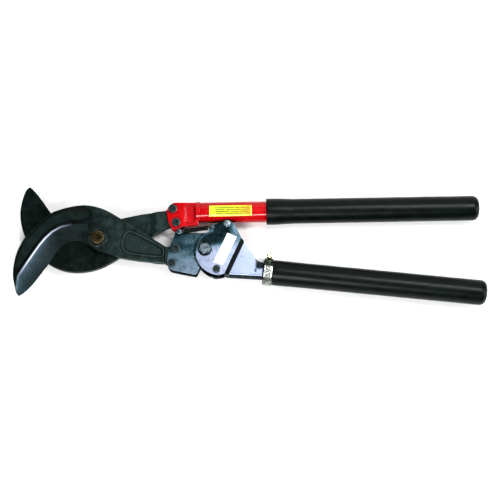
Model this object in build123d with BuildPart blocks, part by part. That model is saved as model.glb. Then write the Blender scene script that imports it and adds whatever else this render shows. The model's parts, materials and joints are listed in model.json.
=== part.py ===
from build123d import *
import os
from math import cos, sin, tan, radians, atan2, degrees, hypot

os.makedirs("parts", exist_ok=True)

# Ratchet cable cutter, lying flat. Millimetres, +Z up.
# Origin: on the blade pivot axis, at the level of the surface the tool lies on.
# +X runs from the blades to the handle ends, +Y is towards the fixed (red) handle.

# ---------------------------------------------------------------- levels
z_mid = 20.0            # mid-plane: shear plane of the blades, handle axes
blade_t = 10.0          # blade thickness
run_gap = 0.05          # running gap between faces that slide
tongue_lo, tongue_hi = 15.0, 25.0
cheek_lo, cheek_hi = 10.0, 30.0      # outer faces of the red clevis
arm_t = 4.0             # ratchet arm plates
arm_lo, arm_hi = 11.0, 29.0
head_t = 4.0            # handle head plates
head_lo, head_hi = 6.7, 33.3

# ---------------------------------------------------------------- pins
centre_r = 8.0          # blade pivot bolt shank
bolt_r = 4.0            # clevis, arm and pawl bolts
pivot_r = 7.0           # handle pivot bolt shank
bush_r = 10.0
pivot = (163.1, -18.4)          # handle head pivot
pawl_pin = (180.9, -48.8)       # pawl bolt
stop_at = (196.5, 21.8)         # stop pin
clevis_at = [(113.2, 45.8), (118.6, 24.3)]
arm_at = [(118.6, -16.2), (113.2, -38.9)]
stud_at = (123.9, 8.2)          # spring stud on the arm
anchor_at = (174.3, 15.8)       # spring anchor on the head
rivet_at = [(142.0, -5.0), (142.0, -34.0)]

# ---------------------------------------------------------------- handles
tube_r, tube_bore = 15.9, 13.4          # red handle tube
low_tube_r, low_tube_bore = 13.0, 10.5  # lower handle tube
grip_r, lip_r = 19.0, 20.0
up_dir, up_pt = 1.05, (155.0, 42.15)    # direction (deg) and a point of the upper handle axis
lo_dir, lo_pt = -5.63, (264.5, -51.6)

# ---------------------------------------------------------------- ratchet
tooth_tip, tooth_root, pitch = 23.0, 20.5, 10.0
face0 = -5.0            # angle of the tooth face the pawl meets with the handle at rest
lift = 7.0              # pawl is drawn lifted this far from its seat

# ---------------------------------------------------------------- outlines
front_outer = [(-117.8, -88.2), (-121.6, -81.5), (-123.9, -72.1), (-125.9, -62.7), (-126.5, -50.1),
               (-125.2, -37.6), (-122.4, -24.3), (-117.8, -12.5), (-111.7, -0.8), (-101.8, 12.1),
               (-88.2, 26.3), (-73.0, 38.6), (-57.8, 45.1), (-41.0, 49.5), (-22.8, 51.7), (-7.6, 50.1),
               (7.6, 45.4), (21.3, 38.4), (33.4, 31.0)]
front_tail_top = [(33.4, 31.0), (45.6, 23.2), (59.3, 14.1), (74.5, 4.7), (88.2, -3.9), (101.8, -12.5)]
front_tail_low = [(101.8, -37.9), (79.0, -36.7), (63.8, -35.1), (48.6, -32.9), (33.4, -30.2)]
front_neck = [(33.4, -30.2), (24.3, -26.6), (13.7, -23.0), (3.0, -19.8), (-6.1, -15.6), (-15.2, -9.0),
              (-24.3, -4.0), (-36.5, -2.2), (-47.1, -5.5), (-56.2, -12.5), (-63.8, -21.9),
              (-69.9, -31.3), (-75.2, -40.0)]
front_inner = [(-75.2, -40.0), (-83.6, -51.5), (-93.5, -65.5), (-100.3, -73.9), (-106.4, -80.2),
               (-112.5, -85.1), (-117.8, -88.2)]
back_outer = [(-107.2, 83.2), (-112.5, 79.0), (-115.8, 71.4), (-118.6, 60.5), (-120.5, 47.9),
              (-120.2, 33.8), (-117.5, 19.7), (-111.7, 3.7), (-101.8, -11.3), (-89.7, -25.4),
              (-75.2, -37.2), (-63.8, -43.7), (-51.7, -48.1), (-39.5, -50.2), (-27.4, -50.6),
              (-12.2, -48.7), (3.0, -44.5), (18.2, -37.0), (34.2, -26.8)]
back_tail_low = [(34.2, -26.8), (45.6, -19.2), (59.3, -10.3), (71.4, -1.9), (83.6, 6.6), (101.8, 16.0)]
back_tail_up = [(101.8, 44.0), (82.1, 42.0), (68.4, 40.3), (56.2, 38.0), (45.6, 35.6), (33.4, 33.0)]
back_neck = [(33.4, 33.0), (24.3, 29.4), (13.7, 25.4), (3.0, 22.1), (-6.1, 17.9), (-15.2, 11.6),
             (-24.3, 6.6), (-36.5, 4.6), (-47.1, 7.8), (-56.2, 15.0), (-63.8, 24.4), (-69.2, 33.0),
             (-73.7, 41.7)]
back_inner = [(-73.7, 41.7), (-82.1, 53.5), (-91.2, 66.0), (-98.8, 75.2), (-103.4, 79.9), (-107.2, 83.2)]

# stations of the ground bevel: ridge point, point of the cutting edge
front_bevel = [((-122.9, -78.5), (-116.5, -89.0)), ((-118.6, -58.8), (-106.4, -80.2)),
               ((-111.0, -46.6), (-98.0, -71.1)), ((-103.4, -34.5), (-90.5, -61.2)),
               ((-95.8, -22.5), (-83.2, -51.0)), ((-88.2, -11.0), (-75.2, -40.0)),
               ((-79.8, -0.2), (-66.2, -25.6)), ((-69.9, 9.6), (-56.2, -12.5)),
               ((-56.2, 17.9), (-45.5, -4.7)), ((-39.5, 21.9), (-34.0, -2.2)),
               ((-26.0, 22.8), (-25.0, -3.8)), ((-15.6, 22.6), (-15.4, -9.0))]
back_bevel = [((-115.6, 73.0), (-105.5, 84.2)), ((-116.2, 58.0), (-101.0, 77.4)),
              ((-108.6, 46.0), (-91.2, 66.0)), ((-100.0, 32.5), (-82.1, 53.5)),
              ((-88.2, 15.0), (-73.7, 41.7)), ((-79.8, 3.4), (-65.5, 27.0)),
              ((-69.9, -7.4), (-56.2, 15.0)), ((-56.2, -15.7), (-45.5, 7.2)),
              ((-39.5, -19.7), (-34.0, 4.7)), ((-26.0, -20.6), (-25.0, 6.2)),
              ((-15.6, -20.4), (-15.4, 11.4))]
edge_land = 1.2         # thickness left at the cutting edge

panel_up = [(-19.0, 45.0), (-30.4, 45.8), (-45.6, 44.0), (-60.8, 39.4), (-73.0, 33.2), (-85.1, 23.4),
            (-95.8, 12.5), (-106.4, -0.5), (-113.2, -13.3), (-118.6, -27.4), (-121.0, -40.0),
            (-121.6, -49.5)]
panel_low = [(-118.4, -48.4), (-106.4, -29.6), (-95.8, -13.6), (-85.1, 1.6), (-73.0, 14.4),
             (-57.8, 23.6), (-39.5, 28.0), (-21.3, 28.6)]

clevis_left = [(118.6, 55.9), (112.5, 54.4), (107.3, 49.8), (104.6, 43.1), (105.0, 34.5),
               (107.0, 25.9), (109.9, 18.8), (114.0, 14.8), (119.5, 14.2)]
arm_left = [(117.6, 10.1), (114.6, 0.2), (111.4, -8.1), (108.2, -17.8), (106.4, -28.0),
            (105.9, -37.4), (107.2, -43.6), (110.2, -47.8), (115.5, -50.5)]
head_top = [(168.7, 17.5), (177.8, 20.6), (187.0, 24.4), (192.2, 26.9), (197.2, 27.3), (202.2, 25.4),
            (206.0, 22.1), (209.8, 16.4)]


def pol(r, a):
    return (r * cos(radians(a)), r * sin(radians(a)))


def turn(p, c, a):
    "Point p turned by a degrees about c."
    x, y = p[0] - c[0], p[1] - c[1]
    return (c[0] + x * cos(radians(a)) - y * sin(radians(a)),
            c[1] + x * sin(radians(a)) + y * cos(radians(a)))


def along(pt, ang, d, side=0.0):
    "Point d along an axis through pt at ang degrees, side to its left."
    return (pt[0] + d * cos(radians(ang)) - side * sin(radians(ang)),
            pt[1] + d * sin(radians(ang)) + side * cos(radians(ang)))


def closed_outline(*runs):
    "Closed face whose edges are smooth runs; a run of two points is straight."
    with BuildLine() as loop:
        for run in runs:
            if len(run) == 2:
                Line(*run)
            else:
                Spline(*run)
    make_face(loop.edges())


def axis_plane(pt, ang, d=0.0):
    "Plane square to a handle axis, its x to the left of the axis, its y up."
    p = along(pt, ang, d)
    return Plane(origin=(p[0], p[1], z_mid), x_dir=(-sin(radians(ang)), cos(radians(ang)), 0),
                 z_dir=(cos(radians(ang)), sin(radians(ang)), 0))


# ================================================================= blades
# Front blade: a flat forging above the shear plane. Its tail stays on top as far
# as the crossing, then steps down to a tongue centred on the mid-plane.
with BuildPart() as front_blade:
    with BuildSketch(Plane.XY.offset(tongue_lo)):
        closed_outline(front_outer, front_tail_top,
                       [(101.8, -12.5), (131.0, -11.0)], [(131.0, -11.0), (131.0, -44.0)],
                       [(131.0, -44.0), (111.0, -44.0)], [(111.0, -44.0), (101.8, -37.9)],
                       front_tail_low, front_neck, front_inner)
    extrude(amount=cheek_hi - tongue_lo)
    with BuildSketch(Plane.XZ):
        Polygon((-140, z_mid + run_gap), (79, z_mid + run_gap), (88, tongue_lo), (140, tongue_lo),
                (140, tongue_hi), (104.0, tongue_hi), (101.8, tongue_hi + 0.8), (101.0, cheek_hi),
                (-140, cheek_hi), align=None)
    extrude(amount=200, both=True, mode=Mode.INTERSECT)
    # ground bevel down to the cutting edge
    for ridge, edge in front_bevel:
        dx, dy = edge[0] - ridge[0], edge[1] - ridge[1]
        w = hypot(dx, dy)
        drop = (blade_t - run_gap - edge_land)
        k = (w + 5.0) / w
        with BuildSketch(Plane(origin=(ridge[0], ridge[1], cheek_hi), x_dir=(dx, dy, 0),
                               z_dir=(dy, -dx, 0))):
            Polygon((0, 0), (w + 5.0, -drop * k), (w + 5.0, 1.5), (0, 1.5), align=None)
    loft(ruled=True, mode=Mode.SUBTRACT)
    # hollow panel along the back of the blade
    with BuildSketch(Plane.XY.offset(cheek_hi - 1.4)):
        with BuildLine():
            Spline(*panel_up)
            Line(panel_up[-1], panel_low[0])
            Spline(*panel_low)
            ThreePointArc(panel_low[-1], (-14.6, 37.0), panel_up[0])
        make_face()
    extrude(amount=3, mode=Mode.SUBTRACT)
    # tapered hollow panel on the tail, with a small raised disc in it
    with BuildSketch(Plane.XY.offset(cheek_hi - 1.6)) as tail_panel:
        Polygon((45.0, 12.3), (98.8, -16.4), (98.8, -28.4), (43.2, -21.6), (38.4, -8.0), align=None)
        fillet(tail_panel.vertices().sort_by(Axis.X)[:3], 4.5)
        fillet(tail_panel.vertices().sort_by(Axis.X)[-2:], 3.0)
    extrude(amount=3, mode=Mode.SUBTRACT)
    with BuildSketch(Plane.XY.offset(cheek_hi - 1.6)):
        with Locations((68.4, -13.3)):
            Circle(3.8)
            Circle(2.2, mode=Mode.SUBTRACT)
    extrude(amount=0.9)
    # pivot hole and arm bolt holes
    with BuildSketch(Plane.XY):
        Circle(centre_r + 0.05)
        with Locations(*arm_at):
            Circle(bolt_r)
    extrude(amount=50, mode=Mode.SUBTRACT)
front_blade.part.label = "front_blade"
export_step(front_blade.part, "parts/front_blade.step")

# Back blade: the same kind of forging below the shear plane, tail rising to its tongue.
with BuildPart() as back_blade:
    with BuildSketch(Plane.XY.offset(cheek_lo)):
        closed_outline(back_outer, back_tail_low,
                       [(101.8, 16.0), (112.0, 19.0)], [(112.0, 19.0), (129.0, 19.0)],
                       [(129.0, 19.0), (129.0, 51.5)], [(129.0, 51.5), (112.0, 51.5)],
                       [(112.0, 51.5), (101.8, 44.0)],
                       back_tail_up, back_neck, back_inner)
    extrude(amount=tongue_hi - cheek_lo)
    with BuildSketch(Plane.XZ):
        Polygon((-140, z_mid), (79, z_mid), (88, tongue_hi), (140, tongue_hi), (140, tongue_lo),
                (103.4, tongue_lo), (101.6, tongue_lo - 0.8), (100.8, cheek_lo), (-140, cheek_lo),
                align=None)
    extrude(amount=200, both=True, mode=Mode.INTERSECT)
    for ridge, edge in back_bevel:
        dx, dy = edge[0] - ridge[0], edge[1] - ridge[1]
        w = hypot(dx, dy)
        drop = (blade_t - edge_land)
        k = (w + 5.0) / w
        with BuildSketch(Plane(origin=(ridge[0], ridge[1], cheek_lo), x_dir=(dx, dy, 0),
                               z_dir=(dy, -dx, 0))):
            Polygon((0, 0), (w + 5.0, drop * k), (w + 5.0, -1.5), (0, -1.5), align=None)
    loft(ruled=True, mode=Mode.SUBTRACT)
    # blind hole with a pressed-in dowel mark on the tail
    with BuildSketch(Plane.XY.offset(z_mid)):
        with Locations((70.7, 21.6)):
            Circle(3.2)
    extrude(amount=-2.0, mode=Mode.SUBTRACT)
    with BuildSketch(Plane.XY):
        Circle(centre_r)
        with Locations(*clevis_at):
            Circle(bolt_r)
    extrude(amount=50, mode=Mode.SUBTRACT)
back_blade.part.label = "back_blade"
export_step(back_blade.part, "parts/back_blade.step")

# ================================================================= blade pivot
with BuildPart() as centre_bolt:
    with BuildSketch(Plane.XY):
        Circle(centre_r)
    extrude(amount=32.0)
    with BuildSketch(Plane.XY.offset(32.0)):
        Circle(10.2)
    extrude(amount=5.5)
    fillet(centre_bolt.edges().group_by(Axis.Z)[-1], 1.6)
    with BuildSketch(Plane.XY.offset(37.5)):
        RegularPolygon(5.0, 6)
    extrude(amount=-3.0, mode=Mode.SUBTRACT)
centre_bolt.part.label = "centre_bolt"
export_step(centre_bolt.part, "parts/centre_bolt.step")

with BuildPart() as centre_washers:
    for z0 in (8.0, cheek_hi + run_gap):
        with BuildSketch(Plane.XY.offset(z0)):
            Circle(15.0)
            Circle(centre_r, mode=Mode.SUBTRACT)
        extrude(amount=2.0 if z0 < 20 else 2.0 - run_gap)
    chamfer(centre_washers.edges().filter_by(GeomType.CIRCLE).group_by(Axis.Z)[-1].sort_by(SortBy.RADIUS)[-1], 0.6)
centre_washers.part.label = "centre_washers"
export_step(centre_washers.part, "parts/centre_washers.step")

with BuildPart() as centre_nut:
    with BuildSketch(Plane.XY):
        RegularPolygon(13.9, 6)
        Circle(centre_r, mode=Mode.SUBTRACT)
    extrude(amount=8.0)
    with BuildSketch(Plane.XY):
        Circle(13.4)
        Circle(centre_r, mode=Mode.SUBTRACT)
    extrude(amount=8.0, taper=-20, mode=Mode.INTERSECT)
centre_nut.part.label = "centre_nut"
export_step(centre_nut.part, "parts/centre_nut.step")

# ================================================================= red handle
# Clevis: two cheeks over the tongue of the back blade, one solid block behind them,
# a collar and a spigot that goes into the tube.
with BuildPart() as upper_clevis:
    with BuildSketch(Plane.XY.offset(cheek_lo)):
        closed_outline(clevis_left,
                       [(119.5, 14.2), (123.5, 15.2), (127.6, 17.6), (131.5, 18.8)],
                       [(131.5, 18.8), (152.5, 19.4)], [(152.5, 19.4), (152.5, 55.6)],
                       [(152.5, 55.6), (118.6, 55.9)])
    extrude(amount=cheek_hi - cheek_lo)
    with BuildSketch(Plane.XY.offset(tongue_lo)):
        Polygon((95, 0), (130.6, 0), (130.6, 70), (95, 70), align=None)
    extrude(amount=tongue_hi - tongue_lo, mode=Mode.SUBTRACT)
    # rounded rectangular hollow in the top and bottom faces of the block
    for z0, s in ((cheek_hi, -1), (cheek_lo, 1)):
        with BuildSketch(Plane.XY.offset(z0)):
            with Locations((139.6, 37.2)):
                RectangleRounded(14.0, 29.0, 4.5)
        extrude(amount=s * 1.2, mode=Mode.SUBTRACT)
    with BuildSketch(axis_plane(up_pt, up_dir, -6.5)):
        Circle(16.9)
    extrude(amount=6.5)
    with BuildSketch(axis_plane(up_pt, up_dir, 0.0)):
        Circle(tube_bore)
    extrude(amount=25.0)
    with BuildSketch(Plane.XY):
        with Locations(*clevis_at):
            Circle(bolt_r)
    extrude(amount=50, mode=Mode.SUBTRACT)
upper_clevis.part.label = "upper_clevis"
export_step(upper_clevis.part, "parts/upper_clevis.step")

with BuildPart() as upper_tube:
    with BuildSketch(axis_plane(up_pt, up_dir, 0.0)):
        Circle(tube_r)
        Circle(tube_bore, mode=Mode.SUBTRACT)
    extrude(amount=405.0)
upper_tube.part.label = "upper_tube"
export_step(upper_tube.part, "parts/upper_tube.step")

# Grip: a moulded sleeve with a short flared lip and a closed, rounded end.
up_grip_0, up_grip_1 = 101.0, 426.4        # from the tube's front end
with BuildPart() as upper_grip:
    with BuildSketch(Plane(origin=(up_pt[0], up_pt[1], z_mid),
                           x_dir=(cos(radians(up_dir)), sin(radians(up_dir)), 0),
                           z_dir=(sin(radians(up_dir)), -cos(radians(up_dir)), 0))):
        with BuildLine():
            Polyline((up_grip_0, tube_r), (up_grip_0, lip_r - 0.6))
            ThreePointArc((up_grip_0, lip_r - 0.6), (up_grip_0 + 0.2, lip_r - 0.2), (up_grip_0 + 0.6, lip_r))
            Polyline((up_grip_0 + 0.6, lip_r), (up_grip_0 + 16, lip_r - 0.05), (up_grip_0 + 40, grip_r),
                     (up_grip_1 - 9.0, grip_r))
            ThreePointArc((up_grip_1 - 9.0, grip_r), (up_grip_1 - 2.4, grip_r - 3.2), (up_grip_1, grip_r - 9.5))
            Polyline((up_grip_1, grip_r - 9.5), (up_grip_1, 0), (405.0, 0), (405.0, tube_r), (up_grip_0, tube_r))
        make_face()
    revolve(axis=Axis((up_pt[0], up_pt[1], z_mid), (cos(radians(up_dir)), sin(radians(up_dir)), 0)))
upper_grip.part.label = "upper_grip"
export_step(upper_grip.part, "parts/upper_grip.step")

# Band label wrapped on the tube.
with BuildPart() as handle_label:
    with BuildSketch(axis_plane(up_pt, up_dir, 13.7)):
        Circle(tube_r + 0.2)
        Circle(tube_r, mode=Mode.SUBTRACT)
        far = 60.0
        a0, a1 = 90 - 27.8, 90 + 36.6
        Polygon((0, 0), pol(far, a0), pol(far, (a0 + a1) / 2), pol(far, a1), align=None, mode=Mode.INTERSECT)
    extrude(amount=65.3)
handle_label.part.label = "handle_label"
export_step(handle_label.part, "parts/handle_label.step")


# Socket-head bolts through clevis and arm, and their nuts.
with BuildPart() as clevis_bolts:
    with BuildSketch(Plane.XY.offset(cheek_lo - 6.0)):
        with Locations(*clevis_at):
            Circle(bolt_r)
    extrude(amount=cheek_hi - cheek_lo + 6.0)
    with BuildSketch(Plane.XY.offset(cheek_hi)):
        with Locations(*clevis_at):
            Circle(6.6)
    extrude(amount=3.6)
    fillet(clevis_bolts.edges().group_by(Axis.Z)[-1], 0.8)
    with BuildSketch(Plane.XY.offset(cheek_hi + 3.6)):
        with Locations(*clevis_at):
            RegularPolygon(3.5, 6)
    extrude(amount=-2.4, mode=Mode.SUBTRACT)
clevis_bolts.part.label = "clevis_bolts"
export_step(clevis_bolts.part, "parts/clevis_bolts.step")

with BuildPart() as clevis_nuts:
    with BuildSketch(Plane.XY.offset(cheek_lo - 5.5)):
        with Locations(*clevis_at):
            RegularPolygon(7.4, 6)
        with Locations(*clevis_at):
            Circle(bolt_r, mode=Mode.SUBTRACT)
    extrude(amount=5.5)
clevis_nuts.part.label = "clevis_nuts"
export_step(clevis_nuts.part, "parts/clevis_nuts.step")

with BuildPart() as arm_bolts:
    with BuildSketch(Plane.XY.offset(arm_lo - 6.0)):
        with Locations(*arm_at):
            Circle(bolt_r)
    extrude(amount=arm_hi - arm_lo + 6.0)
    with BuildSketch(Plane.XY.offset(arm_hi)):
        with Locations(*arm_at):
            Circle(6.4)
    extrude(amount=3.6)
    fillet(arm_bolts.edges().group_by(Axis.Z)[-1], 0.8)
    with BuildSketch(Plane.XY.offset(arm_hi + 3.6)):
        with Locations(*arm_at):
            RegularPolygon(3.5, 6)
    extrude(amount=-2.4, mode=Mode.SUBTRACT)
arm_bolts.part.label = "arm_bolts"
export_step(arm_bolts.part, "parts/arm_bolts.step")

with BuildPart() as arm_nuts:
    with BuildSketch(Plane.XY.offset(arm_lo - 5.5)):
        with Locations(*arm_at):
            RegularPolygon(7.4, 6)
        with Locations(*arm_at):
            Circle(bolt_r, mode=Mode.SUBTRACT)
    extrude(amount=5.5)
arm_nuts.part.label = "arm_nuts"
export_step(arm_nuts.part, "parts/arm_nuts.step")

# ================================================================= ratchet arm
# Two side plates bolted over the tongue of the front blade. Round the handle pivot
# they end in a disc, so that the head's pins can swing past.
arm_disc = 26.6
end_a = -105.0
disc_end = (pivot[0] + arm_disc * cos(radians(end_a)), pivot[1] + arm_disc * sin(radians(end_a)))
disc_top = (pivot[0] + arm_disc * cos(radians(92)), pivot[1] + arm_disc * sin(radians(92)))
disc_mid = (pivot[0] + arm_disc * cos(radians(-6)), pivot[1] + arm_disc * sin(radians(-6)))


def arm_plate_outline():
    with BuildLine() as loop:
        Spline(*arm_left)
        Polyline((115.5, -50.5), (132.2, -54.0), (144.4, -56.4), (149.0, -57.0), (151.6, -55.0),
                 (152.6, -52.0), disc_end)
        ThreePointArc(disc_end, disc_mid, disc_top)
        Polyline(disc_top, (140.0, 8.0), (128.3, 8.6))
        ThreePointArc((128.3, 8.6), (123.9, 12.7), (119.6, 9.6))
        Line((119.6, 9.6), (117.6, 10.1))
    make_face(loop.edges())


with BuildPart() as ratchet_plate_front:
    with BuildSketch(Plane.XY.offset(arm_hi - arm_t)):
        arm_plate_outline()
        with Locations(pivot):
            Circle(bush_r, mode=Mode.SUBTRACT)
        with Locations(*arm_at):
            Circle(bolt_r, mode=Mode.SUBTRACT)
        with Locations(*rivet_at):
            Circle(3.0, mode=Mode.SUBTRACT)
        with Locations(stud_at):
            Circle(2.2, mode=Mode.SUBTRACT)
    extrude(amount=arm_t)
ratchet_plate_front.part.label = "ratchet_plate_front"
export_step(ratchet_plate_front.part, "parts/ratchet_plate_front.step")

with BuildPart() as ratchet_plate_back:
    with BuildSketch(Plane.XY.offset(arm_lo)):
        arm_plate_outline()
        with Locations(pivot):
            Circle(bush_r, mode=Mode.SUBTRACT)
        with Locations(*arm_at):
            Circle(bolt_r, mode=Mode.SUBTRACT)
        with Locations(*rivet_at):
            Circle(3.0, mode=Mode.SUBTRACT)
        with Locations(stud_at):
            Circle(2.2, mode=Mode.SUBTRACT)
    extrude(amount=arm_t)
ratchet_plate_back.part.label = "ratchet_plate_back"
export_step(ratchet_plate_back.part, "parts/ratchet_plate_back.step")

# Toothed quadrant between the plates. The teeth run round the handle pivot; each has a
# radial face on its clockwise side and a long sloping back.
teeth = []
for k in range(-5, 3):
    a = face0 + pitch * k
    teeth.append(pol(tooth_root, a))
    teeth.append(pol(tooth_tip, a))
a_last = face0 + pitch * 3
teeth.append(pol(tooth_root, a_last))
quad_pts = [(p[0] + pivot[0], p[1] + pivot[1]) for p in teeth]
first_a = face0 - pitch * 5
quad_poly = (quad_pts
             + [(p[0] + pivot[0], p[1] + pivot[1]) for p in
                [pol(tooth_root, a) for a in (35, 45, 55, 65, 75, 85, 92)]]
             + [(150.0, 2.0), (134.0, 2.0), (134.0, -40.5), (158.0, -40.5)]
             + [(p[0] + pivot[0], p[1] + pivot[1]) for p in
                [pol(tooth_root, a) for a in (-92, -84, -76, -68, -60)]])
with BuildPart() as ratchet_quadrant:
    with BuildSketch(Plane.XY.offset(tongue_lo)):
        Polygon(*quad_poly, align=None)
        with Locations(pivot):
            Circle(bush_r, mode=Mode.SUBTRACT)
        with Locations(*rivet_at):
            Circle(3.0, mode=Mode.SUBTRACT)
    extrude(amount=tongue_hi - tongue_lo)
ratchet_quadrant.part.label = "ratchet_quadrant"
export_step(ratchet_quadrant.part, "parts/ratchet_quadrant.step")

with BuildPart() as quadrant_rivets:
    with BuildSketch(Plane.XY.offset(arm_lo)):
        with Locations(*rivet_at):
            Circle(3.0)
    extrude(amount=arm_hi - arm_lo)
quadrant_rivets.part.label = "quadrant_rivets"
export_step(quadrant_rivets.part, "parts/quadrant_rivets.step")

with BuildPart() as pivot_bush:
    with BuildSketch(Plane.XY.offset(arm_lo)):
        with Locations(pivot):
            Circle(bush_r)
            Circle(pivot_r + 0.05, mode=Mode.SUBTRACT)
    extrude(amount=arm_hi - arm_lo)
pivot_bush.part.label = "pivot_bush"
export_step(pivot_bush.part, "parts/pivot_bush.step")

# ================================================================= return spring
with BuildPart() as spring_stud:
    with BuildSketch(Plane.XY.offset(arm_lo)):
        with Locations(stud_at):
            Circle(2.2)
    extrude(amount=24.4)
    with BuildSketch(Plane.XY.offset(35.4)):
        with Locations(stud_at):
            Circle(4.4)
    extrude(amount=2.6)
    fillet(spring_stud.edges().group_by(Axis.Z)[-1], 2.2)
spring_stud.part.label = "spring_stud"
export_step(spring_stud.part, "parts/spring_stud.step")

sp_ang = degrees(atan2(anchor_at[1] - stud_at[1], anchor_at[0] - stud_at[0]))
sp_len = hypot(anchor_at[0] - stud_at[0], anchor_at[1] - stud_at[1])
spring_z = 34.3
coil_0, coil_1, coil_r = 6.6, sp_len - 7.2, 2.8
with BuildPart() as handle_spring:
    p0 = along(stud_at, sp_ang, coil_0)
    with BuildSketch(Plane(origin=(p0[0], p0[1], spring_z),
                           x_dir=(-sin(radians(sp_ang)), cos(radians(sp_ang)), 0),
                           z_dir=(cos(radians(sp_ang)), sin(radians(sp_ang)), 0))):
        Circle(coil_r)
    extrude(amount=coil_1 - coil_0)
    with BuildSketch(Plane.XY.offset(spring_z - 0.7)):
        with Locations(stud_at):
            Circle(4.0)
        with Locations(anchor_at):
            Circle(3.5)
        Polygon(along(stud_at, sp_ang, 3.0, -0.8), along(stud_at, sp_ang, coil_0 + 1, -0.8),
                along(stud_at, sp_ang, coil_0 + 1, 0.8), along(stud_at, sp_ang, 3.0, 0.8), align=None)
        Polygon(along(stud_at, sp_ang, coil_1 - 1, -0.8), along(stud_at, sp_ang, sp_len - 3, -0.8),
                along(stud_at, sp_ang, sp_len - 3, 0.8), along(stud_at, sp_ang, coil_1 - 1, 0.8), align=None)
        with Locations(stud_at):
            Circle(2.3, mode=Mode.SUBTRACT)
        with Locations(anchor_at):
            Circle(1.9, mode=Mode.SUBTRACT)
    extrude(amount=1.4)
handle_spring.part.label = "handle_spring"
export_step(handle_spring.part, "parts/handle_spring.step")

with BuildPart() as spring_anchor_pin:
    with BuildSketch(Plane.XY.offset(head_lo)):
        with Locations(anchor_at):
            Circle(1.8)
    extrude(amount=35.4 - head_lo)
    with BuildSketch(Plane.XY.offset(35.4)):
        with Locations(anchor_at):
            Circle(2.9)
    extrude(amount=1.4)
    fillet(spring_anchor_pin.edges().group_by(Axis.Z)[-1], 0.6)
spring_anchor_pin.part.label = "spring_anchor_pin"
export_step(spring_anchor_pin.part, "parts/spring_anchor_pin.step")

# ================================================================= handle head
def head_outline():
    with BuildLine() as loop:
        Spline(*head_top)
        Polyline((209.8, 16.4), (217.8, 0.0), (192.3, -56.0))
        ThreePointArc((192.3, -56.0), (182.4, -58.2), (173.3, -56.4))
        ThreePointArc((173.3, -56.4), (148.9, -21.5), (168.7, 9.8))
        Line((168.7, 9.8), (168.7, 17.5))
    make_face(loop.edges())


with BuildPart() as head_plate_front:
    with BuildSketch(Plane.XY.offset(head_hi - head_t)):
        head_outline()
        with Locations(pivot):
            Circle(pivot_r, mode=Mode.SUBTRACT)
        with Locations(pawl_pin, stop_at):
            Circle(bolt_r, mode=Mode.SUBTRACT)
        with Locations(anchor_at):
            Circle(1.8, mode=Mode.SUBTRACT)
    extrude(amount=head_t)
head_plate_front.part.label = "head_plate_front"
export_step(head_plate_front.part, "parts/head_plate_front.step")

with BuildPart() as head_plate_back:
    with BuildSketch(Plane.XY.offset(head_lo)):
        head_outline()
        with Locations(pivot):
            Circle(pivot_r, mode=Mode.SUBTRACT)
        with Locations(pawl_pin, stop_at):
            Circle(bolt_r, mode=Mode.SUBTRACT)
        with Locations(anchor_at):
            Circle(1.8, mode=Mode.SUBTRACT)
    extrude(amount=head_t)
head_plate_back.part.label = "head_plate_back"
export_step(head_plate_back.part, "parts/head_plate_back.step")

# Cross bar that closes the open side of the head: a rib between the plates and a
# wider bar outside them, which the handle bracket is welded to.
bar_a, bar_b = (217.8, 0.0), (192.3, -56.0)
bar_ang = degrees(atan2(bar_b[1] - bar_a[1], bar_b[0] - bar_a[0]))
bar_len = hypot(bar_b[0] - bar_a[0], bar_b[1] - bar_a[1])
with BuildPart() as head_end_bar:
    with BuildSketch(Plane.XY.offset(8.0)):
        Polygon(bar_a, along(bar_a, bar_ang, 3.2, 6.2), along(bar_a, bar_ang, bar_len - 1.0, 6.2), bar_b,
                align=None)
    extrude(amount=24.0)
    with BuildSketch(Plane.XY.offset(head_lo + head_t)):
        Polygon(along(bar_a, bar_ang, 6.0), along(bar_a, bar_ang, 6.0, -4.5),
                along(bar_a, bar_ang, bar_len - 6.0, -4.5), along(bar_a, bar_ang, bar_len - 6.0), align=None)
    extrude(amount=head_hi - head_lo - 2 * head_t)
head_end_bar.part.label = "head_end_bar"
export_step(head_end_bar.part, "parts/head_end_bar.step")

# Bracket: tapers from the cross bar to the tube, with a round spigot into the tube.
b0 = along(bar_a, bar_ang, 3.2, 6.2)
b1 = along(bar_a, bar_ang, bar_len - 1.0, 6.2)
lo_face = 250.6
lo_off = (lo_face - lo_pt[0]) / cos(radians(lo_dir))
mouth = along(lo_pt, lo_dir, lo_off)
with BuildPart() as handle_bracket:
    with BuildSketch(Plane.XY.offset(9.0)):
        with BuildLine():
            Polyline(b0, (231.0, -20.0), (237.9, -29.6))
            Spline((237.9, -29.6), (241.6, -34.4), (245.6, -37.0), along(lo_pt, lo_dir, lo_off, 12.0))
            Polyline(along(lo_pt, lo_dir, lo_off, 12.0), along(lo_pt, lo_dir, lo_off, -11.2),
                     (b1[0] + 3.0, -58.6), b1, b0)
        make_face()
    extrude(amount=22.0)
    low_edges = handle_bracket.edges().filter_by(lambda e: e.center().Y < -57.5 and abs((e @ 0).Z - (e @ 1).Z) < 0.1 and e.length > 30)
    fillet(low_edges, 4.5)
    # thumb-shaped hollow in the top face where the bracket runs out to the tube
    with Locations((245.2, -43.6, 37.4)):
        Sphere(8.6, mode=Mode.SUBTRACT)
    # punched mark
    with BuildSketch(Plane.XY.offset(31.0)):
        with Locations((238.6, -51.6)):
            Circle(1.6)
    extrude(amount=-1.5, mode=Mode.SUBTRACT)
    with BuildSketch(axis_plane(lo_pt, lo_dir, lo_off - 3.0)):
        Circle(low_tube_bore)
    extrude(amount=31.0)
handle_bracket.part.label = "handle_bracket"
export_step(handle_bracket.part, "parts/handle_bracket.step")

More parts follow.
